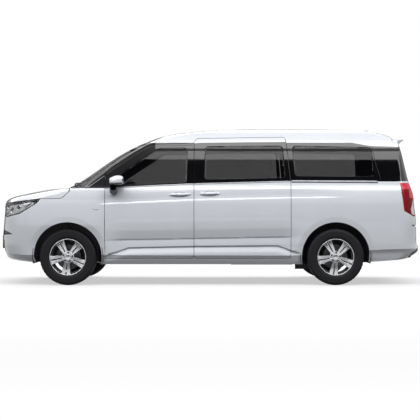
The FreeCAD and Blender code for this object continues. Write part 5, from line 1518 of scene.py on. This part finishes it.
# %% Steering wheel
WHEEL_CENTRE = Vector((-.872, -.400, .985))
RAKE = math.radians(28)
toward = Vector((math.cos(RAKE), 0, math.sin(RAKE)))
to_rake = Vector((0, -1, 0)).rotation_difference(toward).to_matrix()
GRIP_REACH, GRIP_RADIUS = .170, .0145
ring = turned([(GRIP_REACH + GRIP_RADIUS * math.cos(a), GRIP_RADIUS * math.sin(a)) for a in angles(16)], 72)
join(ring, turned([(0, .012), (.045, .010), (.066, .002), (.070, -.010), (.050, -.026), (0, -.030)], 36,
                  closed=False))
for turn in (90, -90, 180):
    bar = loft([[(-w, -d, r), (w, -d, r), (w * .8, -d + .012, r), (-w * .8, -d + .012, r)]
                for r, w, d in ((.050, .026, .004), (.10, .018, .004), (.164, .015, .006))])
    join(ring, tilted(bar, turn))
bmesh.ops.rotate(ring, verts=ring.verts, cent=(0, 0, 0), matrix=to_rake)
edge_roll(piece("steering_wheel_rim", moved(ring, WHEEL_CENTRE), [SOFT_TRIM], "steering",
                stands_for=("steering_wheel",), slot="interior_plastic"), .002, 2, 40)
column = turned([(.034, -.034), (.040, -.06), (.046, -.17), (.046, -.26), (0, -.26), (0, -.034)], 28,
                closed=False)
bmesh.ops.rotate(column, verts=column.verts, cent=(0, 0, 0), matrix=to_rake)
piece("steering_column", moved(column, WHEEL_CENTRE), [SOFT_TRIM], "body")
stalks = bmesh.new()
for way in (-1, 1):
    root_at = WHEEL_CENTRE - toward * .055
    bends = [root_at + Vector(step) for step in ((0, 0, 0), (.01, way * .10, .01), (.015, way * .14, .012))]
    join(stalks, tube(bends, [.006, .006, .008], 10))
piece("steering_stalks", stalks, [GLOSS_BLACK], "body")

# %% Door cards and grab parts
card = cut(mm([(-1180, 420), (-215, 420), (-215, 1120), (-1180, 1080)]))
sink(card, .088)
pair("door_card_front", card, [SOFT_TRIM], "front_door_*", .010, roll=.003)
rest = loft([soft_ring((x, -.873 + dy, z), (.035, .030), (0, 1, 0)) for x, dy, z in (
    (-1.00, 0, .80), (-.97, .012, .80), (-.80, .018, .80), (-.50, .018, .79), (-.34, .012, .78),
    (-.31, 0, .78))])
both("door_armrest_front", rest, [SOFT_TRIM], "front_door_*", roll=.003)
card = cut(mm([(-110, 420), (930, 420), (930, 1150), (-110, 1120)]))
sink(card, .088)
pair("door_card_sliding", card, [SOFT_TRIM], "body", .010, roll=.003)

# %% [markdown]
# ## Seats
# Every cushion is blown up by a cloth simulation with a little inner pressure, so that it is crowned and its
# sides pull in. Seams are pressed in afterwards, because the even cells would wipe them out. One seat is made
# and repeated; the bench at the back has its own two cushions.

# %% Leather and the pads before they are filled
LEATHER = grain(mottle(finish("dark seat leather", (0.040, 0.036, 0.034), 0.48, sheen=0.15), 7.0,
                       (0.034, 0.030, 0.028), (0.050, 0.045, 0.043)), 650.0, 0.35, 0.0012, "cells")
PIPING = grain(mottle(finish("seat piping", (0.10, 0.085, 0.07), 0.55), 40.0, (0.085, 0.07, 0.058),
                      (0.12, 0.10, 0.085)), 900.0, 0.2)
BACK_LEAN = 21.0
HINGE_X, HINGE_Z = .56, .20
SEAT_FLOOR = .300


def pad_block(low, high):
    """A block with thick rolled edges, divided so that cloth can bend."""
    bm = soft_box_mesh(low, high, .030, 4)
    bmesh.ops.subdivide_edges(bm, edges=[e for e in bm.edges if e.calc_length() > .08], cuts=3,
                              use_grid_fill=True)
    return bm


def back_block(low, high):
    """A pad drawn upright and leaned back about the seat's hinge line."""
    return tilted(pad_block(low, high), BACK_LEAN, centre=(HINGE_X, 0, HINGE_Z))


PADS = {
    "seat": pad_block((.018, -.238, .152), (.535, .238, .272)),
    "back": back_block((.512, -.236, .205), (.605, .236, .745)),
    "head": back_block((.530, -.130, .790), (.605, .130, .945)),
    "bench_seat": pad_block((.018, -.600, .152), (.470, .600, .262)),
    "bench_back": back_block((.452, -.600, .205), (.535, .600, .610)),
}


CLOTH_FRAMES = 20


def filled(blocks, voxel, pressure, cap):
    """Remesh the pads evenly, blow them up with cloth pressure and cap how far a point moves."""
    scene = bpy.context.scene
    held = {}
    for name, bm in blocks.items():
        mesh = bpy.data.meshes.new("pad_" + name)
        bm.to_mesh(mesh)
        bm.free()
        pad = bpy.data.objects.new("pad_" + name, mesh)
        scene.collection.objects.link(pad)
        even = modifier(pad, "REMESH", "even cells", mode="VOXEL")
        even.voxel_size = voxel
        graph = bpy.context.evaluated_depsgraph_get()
        remeshed = bpy.data.meshes.new_from_object(pad.evaluated_get(graph))
        pad.modifiers.clear()
        pad.data = remeshed
        held[name] = pad
    for pad in held.values():
        cloth = modifier(pad, "CLOTH", "filling")
        cloth.settings.use_pressure = True
        cloth.settings.uniform_pressure_force = pressure
        cloth.settings.effector_weights.gravity = 0
        cloth.settings.quality = 5
        cloth.point_cache.frame_start, cloth.point_cache.frame_end = 1, CLOTH_FRAMES
    for step in range(1, CLOTH_FRAMES + 1):
        scene.frame_set(step)
    result = {}
    graph = bpy.context.evaluated_depsgraph_get()
    for name, pad in held.items():
        before = np.array([v.co[:] for v in pad.data.vertices])
        done = bpy.data.meshes.new_from_object(pad.evaluated_get(graph))
        after = np.array([v.co[:] for v in done.vertices])
        move = after - before
        length = np.linalg.norm(move, axis=1, keepdims=True)
        after = before + move * np.minimum(1, cap / np.maximum(length, 1e-9))
        bm = bmesh.new()
        bm.from_mesh(done)
        for vert, spot in zip(bm.verts, after):
            vert.co = spot
        bmesh.ops.smooth_vert(bm, verts=bm.verts, factor=.5, use_axis_x=True, use_axis_y=True,
                              use_axis_z=True)
        result[name] = bm
        bpy.data.objects.remove(pad)
    scene.frame_set(1)
    return result


FILLED = filled(PADS, .009, 4.0, .014)
print("pads:", {name: len(bm.verts) for name, bm in FILLED.items()})

# %% Seams pressed into the pads
def press(bm, lines, depth, width, facing):
    """Sink points near seam planes; a line is (axis, position, other axis, its low, its high)."""
    bm.normal_update()
    for vert in bm.verts:
        if vert.normal.dot(facing) < .25:
            continue
        dip = 0.0
        for axis, at, other, low, high in lines:
            if low <= vert.co[other] <= high:
                dip = max(dip, depth * math.exp(-((vert.co[axis] - at) / width)**2))
        if dip:
            vert.co -= vert.normal * dip


UP = Vector((0, 0, 1))
FORWARD = Vector((-1, 0, .35)).normalized()
press(FILLED["seat"], [(1, -.150, 0, .03, .53), (1, .150, 0, .03, .53)] +
      [(0, x, 1, -.150, .150) for x in (.16, .29, .42)], .009, .008, UP)
press(FILLED["back"], [(1, -.150, 2, .22, .80), (1, .150, 2, .22, .80)] +
      [(2, z, 1, -.150, .150) for z in (.36, .48, .60)], .009, .008, FORWARD)
press(FILLED["bench_seat"], [(1, y, 0, .02, .5) for y in (-.40, 0, .40)] +
      [(0, x, 1, -.6, .6) for x in (.16, .30)], .009, .009, UP)
press(FILLED["bench_back"], [(1, y, 2, .2, .8) for y in (-.40, 0, .40)] +
      [(2, z, 1, -.6, .6) for z in (.34, .47)], .009, .009, FORWARD)


# %% Place the seats
def at(bm, x, y):
    twin = bm.copy()
    return moved(twin, (x, y, SEAT_FLOOR))


def leaned(x, z):
    """A place drawn on the upright back, after it leans."""
    a = math.radians(BACK_LEAN)
    dx, dz = x - HINGE_X, z - HINGE_Z
    return HINGE_X + dx * math.cos(a) + dz * math.sin(a), HINGE_Z - dx * math.sin(a) + dz * math.cos(a)


def seat_base(x, y):
    """Rails, skirt and recliner covers under and beside the cushion."""
    bm = bmesh.new()
    for side in (-1, 1):
        join(bm, soft_box_mesh((x + .03, y + side * .20 - .022, SEAT_FLOOR + .004),
                               (x + .53, y + side * .20 + .022, SEAT_FLOOR + .040), .006, 2))
        cover = [(.07, .10), (.50, .10), (.615, .15), (.660, .235), (.640, .30), (.585, .33), (.53, .275),
                 (.10, .20), (.07, .16)]
        join(bm, loft([[(x + a, y + side * o, SEAT_FLOOR + b) for a, b in cover] for o in (.243, .262)]))
    join(bm, soft_box_mesh((x + .06, y - .215, SEAT_FLOOR + .045), (x + .50, y + .215, SEAT_FLOOR + .150),
                           .015, 3))
    return bm


seats = [("front_left", -.850, -.400, "front_seats"), ("front_right", -.850, .400, "front_seats"),
         ("middle_left", .110, -.400, "middle_seats"), ("middle_right", .110, .400, "middle_seats")]
for name, x, y, node in seats:
    for part in ("seat", "back", "head"):
        pad = piece("pad_%s_%s" % (part, name), at(FILLED[part], x, y), [LEATHER], "body", (node,),
                    "seat_leather")
    edge_roll(piece("seat_base_" + name, seat_base(x, y), [DARK_PLASTIC], "body"), .004, 2, 35)
    posts = bmesh.new()
    for side in (-.05, .05):
        ends = [(x + px, y + side, SEAT_FLOOR + pz) for px, pz in (leaned(.566, .730), leaned(.568, .83))]
        join(posts, tube(ends, .006, 12))
    piece("headrest_posts_" + name, posts, [CHROME], "body")
    seams = bmesh.new()
    for side in (-.150, .150):
        line = [(x + px, y + side, SEAT_FLOOR + .281) for px in np.linspace(.05, .50, 10)]
        join(seams, tube(line, .0022, 6))
    piece("seat_piping_" + name, seams, [PIPING], "body")
for part in ("seat", "back"):
    pad = piece("pad_bench_" + part, at(FILLED["bench_" + part], 1.160, 0), [LEATHER], "body",
                ("rear_bench",), "seat_leather")
bench = bmesh.new()
for y in (-.45, 0, .45):
    foot = soft_box_mesh((1.19, y - .03, SEAT_FLOOR + .004), (1.60, y + .03, SEAT_FLOOR + .150), .008, 2)
    join(bench, foot)
join(bench, soft_box_mesh((1.19, -.585, SEAT_FLOOR + .11), (1.62, .585, SEAT_FLOOR + .150), .012, 3))
edge_roll(piece("bench_base", bench, [DARK_PLASTIC], "body"), .003, 2, 35)
print("seats placed:", len(seats), "and a bench")

# %% [markdown]
# ## Wheels and tyres
# A tyre is a body of revolution, so its section is spun about the axle. The tread blocks are faces of the
# groove floor extruded outwards. The alloy wheel is a spun barrel with five pairs of spokes, each one
# lofted from sections that widen towards the rim, with a dark brake disc turning behind them. The parts are
# drawn for the left side; on the right the whole wheel is flipped.

# %% Tyre
TREAD_STEPS = 132
TREAD_FLOOR, TREAD_TOP = 0.3305, 0.338
RIB_EDGES = (-.096, -.066, -.058, -.030, -.022, .022, .030, .058, .066, .096)


def tyre():
    outside = [(.2215, .100), (.232, .1045), (.2335, .1075), (.243, .1092), (.2455, .1103), (.262, .1122),
               (.285, .1125), (.300, .1112), (.3025, .1120), (.306, .1120), (.3085, .1098), (.322, .1035),
               (TREAD_FLOOR - .002, .0975)]
    floor_line = [(TREAD_FLOOR, y) for y in reversed(RIB_EDGES)]
    inner_side = [(r, -out) for r, out in reversed(outside)]
    lining = [(.2205, -.090), (.262, -.100), (.306, -.098), (.3225, -.080), (.3225, .080), (.306, .098),
              (.262, .100), (.2205, .090)]
    bm = turned(outside + floor_line + inner_side + lining, TREAD_STEPS)
    blocks = []
    for face in bm.faces:
        c = face.calc_center_median()
        r = math.hypot(c.x, c.z)
        if abs(r - TREAD_FLOOR) > 0.0012 or abs(c.y) > 0.0962:
            continue
        rib = next(i for i in range(len(RIB_EDGES) - 1) if RIB_EDGES[i] <= -c.y <= RIB_EDGES[i + 1])
        step = int((math.atan2(c.z, c.x) + math.pi) / (2 * math.pi) * TREAD_STEPS)
        if rib % 2 == 0 and (step + rib) % 3 != 0 or rib == 4 and (step + rib) % 6 != 0:
            blocks.append(face)
    raised = bmesh.ops.extrude_face_region(bm, geom=blocks)
    for vert in [v for v in raised["geom"] if isinstance(v, bmesh.types.BMVert)]:
        r = math.hypot(vert.co.x, vert.co.z)
        top = TREAD_TOP - 0.0035 * (abs(vert.co.y) / 0.096)**3
        vert.co.x *= top / r
        vert.co.z *= top / r
    bmesh.ops.delete(bm, geom=blocks, context="FACES_ONLY")
    bmesh.ops.recalc_face_normals(bm, faces=bm.faces)
    return bm


# %% Alloy wheel
SPOKE_PAIRS, PAIR_TURN = 5, math.radians(43)
SPOKE_STATIONS = ((.030, .0115, .0875, .040), (.070, .0155, .0890, .036), (.115, .0190, .0925, .031),
                  (.160, .0215, .0945, .028), (.190, .0235, .0930, .026), (.2065, .0265, .0900, .024))


def spoke(turn, lean):
    """One spoke along +Z, turned into place; each station is radius, half width, face height, depth."""
    rings = []
    for r, half, face, deep in SPOKE_STATIONS:
        side = lean * (half + .0020 + .0030 * r / .2065)
        rings.append([(side + w, -out, r) for w, out in (
            (-half * .72, face), (half * .72, face), (half, face - .008), (half * .9, face - deep),
            (-half * .9, face - deep), (-half, face - .008))])
    return rotated(loft(rings), turn)


def alloy():
    barrel = turned([(.219, .0985), (.2175, .1000), (.2145, .1000), (.2115, .0980), (.2085, .0900),
                     (.2045, .0800), (.1990, .0600), (.1900, .0350), (.1860, .0000), (.1880, -.0500),
                     (.2000, -.0850), (.2130, -.0985), (.2190, -.1000), (.2190, -.0950), (.2080, -.0800),
                     (.1930, -.0500), (.1910, .0000), (.1950, .0350), (.2050, .0600), (.2110, .0780),
                     (.2190, .0900)], 96)
    for k in range(SPOKE_PAIRS):
        for lean in (-1, 1):
            join(barrel, spoke(PAIR_TURN + 2 * math.pi * k / SPOKE_PAIRS, lean))
    return barrel


def hub():
    return turned([(0, .0780), (.0380, .0780), (.0400, .0840), (.0430, .0850), (.0660, .0850),
                   (.0720, .0800), (.0740, .0600), (.0740, .0350), (.0, .0350)], 60, closed=False)


def centre_cap():
    return turned([(0, .0885), (.020, .0885), (.0290, .0870), (.0330, .0850), (.0345, .0800), (0, .0790)],
                  48, closed=False)


def lug_nuts():
    bm = bmesh.new()
    for k in range(5):
        nut = turned([(0, .0), (.0088, .0), (.0088, .012), (.0062, .016), (0, .016)], 6, closed=False)
        cup = turned([(.0092, .0), (.0125, .0), (.0125, .0045), (.0105, .0065), (.0092, .0045)], 20)
        angle = PAIR_TURN + math.pi / 5 + 2 * math.pi * k / 5
        place = (.0555 * math.sin(angle), -.0835, .0555 * math.cos(angle))
        join(bm, moved(nut, place))
        join(bm, moved(cup, place))
    return bm


def brake_disc():
    return turned([(.075, .020), (.148, .020), (.148, .008), (.090, .008), (.090, -.002), (.148, -.002),
                   (.148, -.014), (.060, -.014), (.060, .034), (.075, .034)], 90)


BRAKE_STEEL = grain(mottle(finish("brake disc steel", (0.07, 0.07, 0.072), 0.5, metallic=1.0), 60.0,
                           (0.055, 0.055, 0.057), (0.09, 0.09, 0.092)), 900.0, 0.1)
NUT_STEEL = grain(mottle(finish("dark nut steel", (0.05, 0.05, 0.055), 0.35, metallic=1.0), 80.0,
                         (0.04, 0.04, 0.045), (0.065, 0.065, 0.07)), 800.0, 0.05)
for axle, where in ((FRONT_AXLE, "front"), (REAR_AXLE, "rear")):
    for side in ("left", "right"):
        parts = (("tyre", tyre(), RUBBER, "tyre_", "tyre_rubber", 0),
                 ("alloy", alloy(), ALLOY, "rim_", "alloy", 0.0016),
                 ("hub", hub(), ALLOY, None, "alloy", 0.001), ("cap", centre_cap(), ALLOY, None, "alloy", 0),
                 ("nuts", lug_nuts(), NUT_STEEL, None, "alloy", 0),
                 ("disc", brake_disc(), BRAKE_STEEL, None, "cast_metal", 0.0008))
        for kind, bm, look, node, slot, roll in parts:
            moved(bm, (axle, -WHEEL_Y, WHEEL_Z))
            if side == "right":
                flipped(bm)
            corner = where + "_" + side
            made = piece(kind + "_" + corner, bm, [look], "wheel_" + corner,
                         (node + corner,) if node else (), slot)
            if roll:
                edge_roll(made, roll, 2, 35)
polygons = bpy.data.objects["tyre_front_left"].data.polygons
print("tyre triangles:", sum(len(face.vertices) - 2 for face in polygons))

# %% [markdown]
# ## Camera and studio
# The camera stands far to the left of the car with a long lens, level and square to the side. On each side
# two long soft boxes hang 4.2 metres up, 3.1 and 5.0 metres out. The upper half of a side window mirrors the
# outer box, and the lower half mirrors a dark card that the camera can't see.

# %% Camera
bpy.context.scene.view_settings.view_transform = "Standard"
view = bpy.data.objects.new("camera", bpy.data.cameras.new("camera"))
view.data.lens = 97.08
view.location = (0.018, -14.45, 0.9)
view.rotation_euler = (math.pi / 2, 0, 0)
bpy.context.scene.collection.objects.link(view)
bpy.context.scene.camera = view

# %% World: white where it is seen, dimmer where it lights
def seen_directly(tree):
    """1 for rays from the camera, from a mirror surface or through glass, else 0."""
    rays = tree.nodes.new("ShaderNodeLightPath")
    either, seen = tree.nodes.new("ShaderNodeMath"), tree.nodes.new("ShaderNodeMath")
    either.operation = seen.operation = "MAXIMUM"
    tree.links.new(rays.outputs["Is Camera Ray"], either.inputs[0])
    tree.links.new(rays.outputs["Is Glossy Ray"], either.inputs[1])
    tree.links.new(either.outputs["Value"], seen.inputs[0])
    tree.links.new(rays.outputs["Is Transmission Ray"], seen.inputs[1])
    return seen.outputs["Value"]


def split_by_ray(tree, lit, shown, output):
    """Light the car with one shader and show another where the studio is seen."""
    mix = tree.nodes.new("ShaderNodeMixShader")
    tree.links.new(seen_directly(tree), mix.inputs["Fac"])
    tree.links.new(lit, mix.inputs[1])
    tree.links.new(shown, mix.inputs[2])
    tree.links.new(mix.outputs["Shader"], tree.nodes[output].inputs["Surface"])


world = bpy.data.worlds.new("studio")
bpy.context.scene.world = world
world.use_nodes = True
tree = world.node_tree
background = tree.nodes["Background"]
background.inputs["Color"].default_value = (1, 1, 1, 1)
background.inputs["Strength"].default_value = 1.0
dim = tree.nodes.new("ShaderNodeBackground")
dim.inputs["Color"].default_value = (0.88, 0.93, 1.0, 1)
dim.inputs["Strength"].default_value = 0.11
split_by_ray(tree, dim.outputs["Background"], background.outputs["Background"], "World Output")
print("studio world:", world.name)

# %% Lamps
LAMP_LENGTH, LAMP_HEIGHT = 14, 4.2


def soft_lamp(name, size, place, radiance):
    """A soft box that looks straight down; its power follows from its size and the cloth's brightness."""
    lamp = bpy.data.objects.new(name, bpy.data.lights.new(name, "AREA"))
    lamp.data.shape = "RECTANGLE"
    lamp.data.size, lamp.data.size_y = size
    lamp.data.energy = radiance * math.pi * size[0] * size[1]
    lamp.location = place
    lamp.rotation_euler = Vector((0, 0, -place[2])).to_track_quat("-Z", "Y").to_euler()
    bpy.context.scene.collection.objects.link(lamp)


for side, name in ((-1, "left"), (1, "right")):
    for part, width, middle, radiance in (("key", 1.8, 3.1, 4.4), ("edge", 1.1, 5.0, 4.0)):
        soft_lamp(part + "_" + name, (LAMP_LENGTH, width), (0, side * middle, LAMP_HEIGHT), radiance)
print("lamps:", len(bpy.data.lights))


# %% Dark cards round the studio
def studio_object(name, bm, look):
    """An object that belongs to the studio and not to the car."""
    mesh = bpy.data.meshes.new(name)
    bm.to_mesh(mesh)
    bm.free()
    mesh.materials.append(look)
    made = bpy.data.objects.new(name, mesh)
    bpy.context.scene.collection.objects.link(made)
    return made


def dark_card(place, size):
    """A dark card that only mirror surfaces see."""
    bm = bmesh.new()
    bmesh.ops.create_grid(bm, x_segments=4, y_segments=4, size=.5)
    bmesh.ops.scale(bm, vec=(*size, 1), verts=bm.verts)
    card = studio_object("dark_card", moved(tilted(bm, 90, "X"), place), CARD)
    for ray in ("camera", "diffuse", "transmission", "shadow", "volume_scatter"):
        setattr(card, "visible_" + ray, False)


CARD = finish("dark card", (0.01, 0.01, 0.012), 1.0)
for y in (-17, 17):
    dark_card((0, y, 6.5), (36, 13))
print("dark cards: 2")

# %% Floor
floor = bmesh.new()
bmesh.ops.create_grid(floor, x_segments=8, y_segments=8, size=60)
GROUND = finish("studio floor", (0.93, 0.93, 0.935), 0.9)
tree = GROUND.node_tree
grey = tree.nodes.new("ShaderNodeBsdfDiffuse")
grey.inputs["Color"].default_value = (0.05, 0.051, 0.055, 1)
place = tree.nodes.new("ShaderNodeTexCoord")
away = tree.nodes.new("ShaderNodeVectorMath")
away.operation = "LENGTH"
share = tree.nodes.new("ShaderNodeMapRange")
for socket, value in (("From Min", 3.0), ("From Max", 9.0), ("To Min", 0.55), ("To Max", 1.0)):
    share.inputs[socket].default_value = value
glow = tree.nodes.new("ShaderNodeEmission")
pale = tree.nodes.new("ShaderNodeMixShader")
tree.links.new(place.outputs["Object"], away.inputs[0])
tree.links.new(away.outputs["Value"], share.inputs["Value"])
tree.links.new(share.outputs["Result"], pale.inputs["Fac"])
tree.links.new(tree.nodes["Principled BSDF"].outputs["BSDF"], pale.inputs[1])
tree.links.new(glow.outputs["Emission"], pale.inputs[2])
split_by_ray(tree, grey.outputs["BSDF"], pale.outputs["Shader"], "Material Output")
studio_object("floor", floor, GROUND)
print("floor laid")
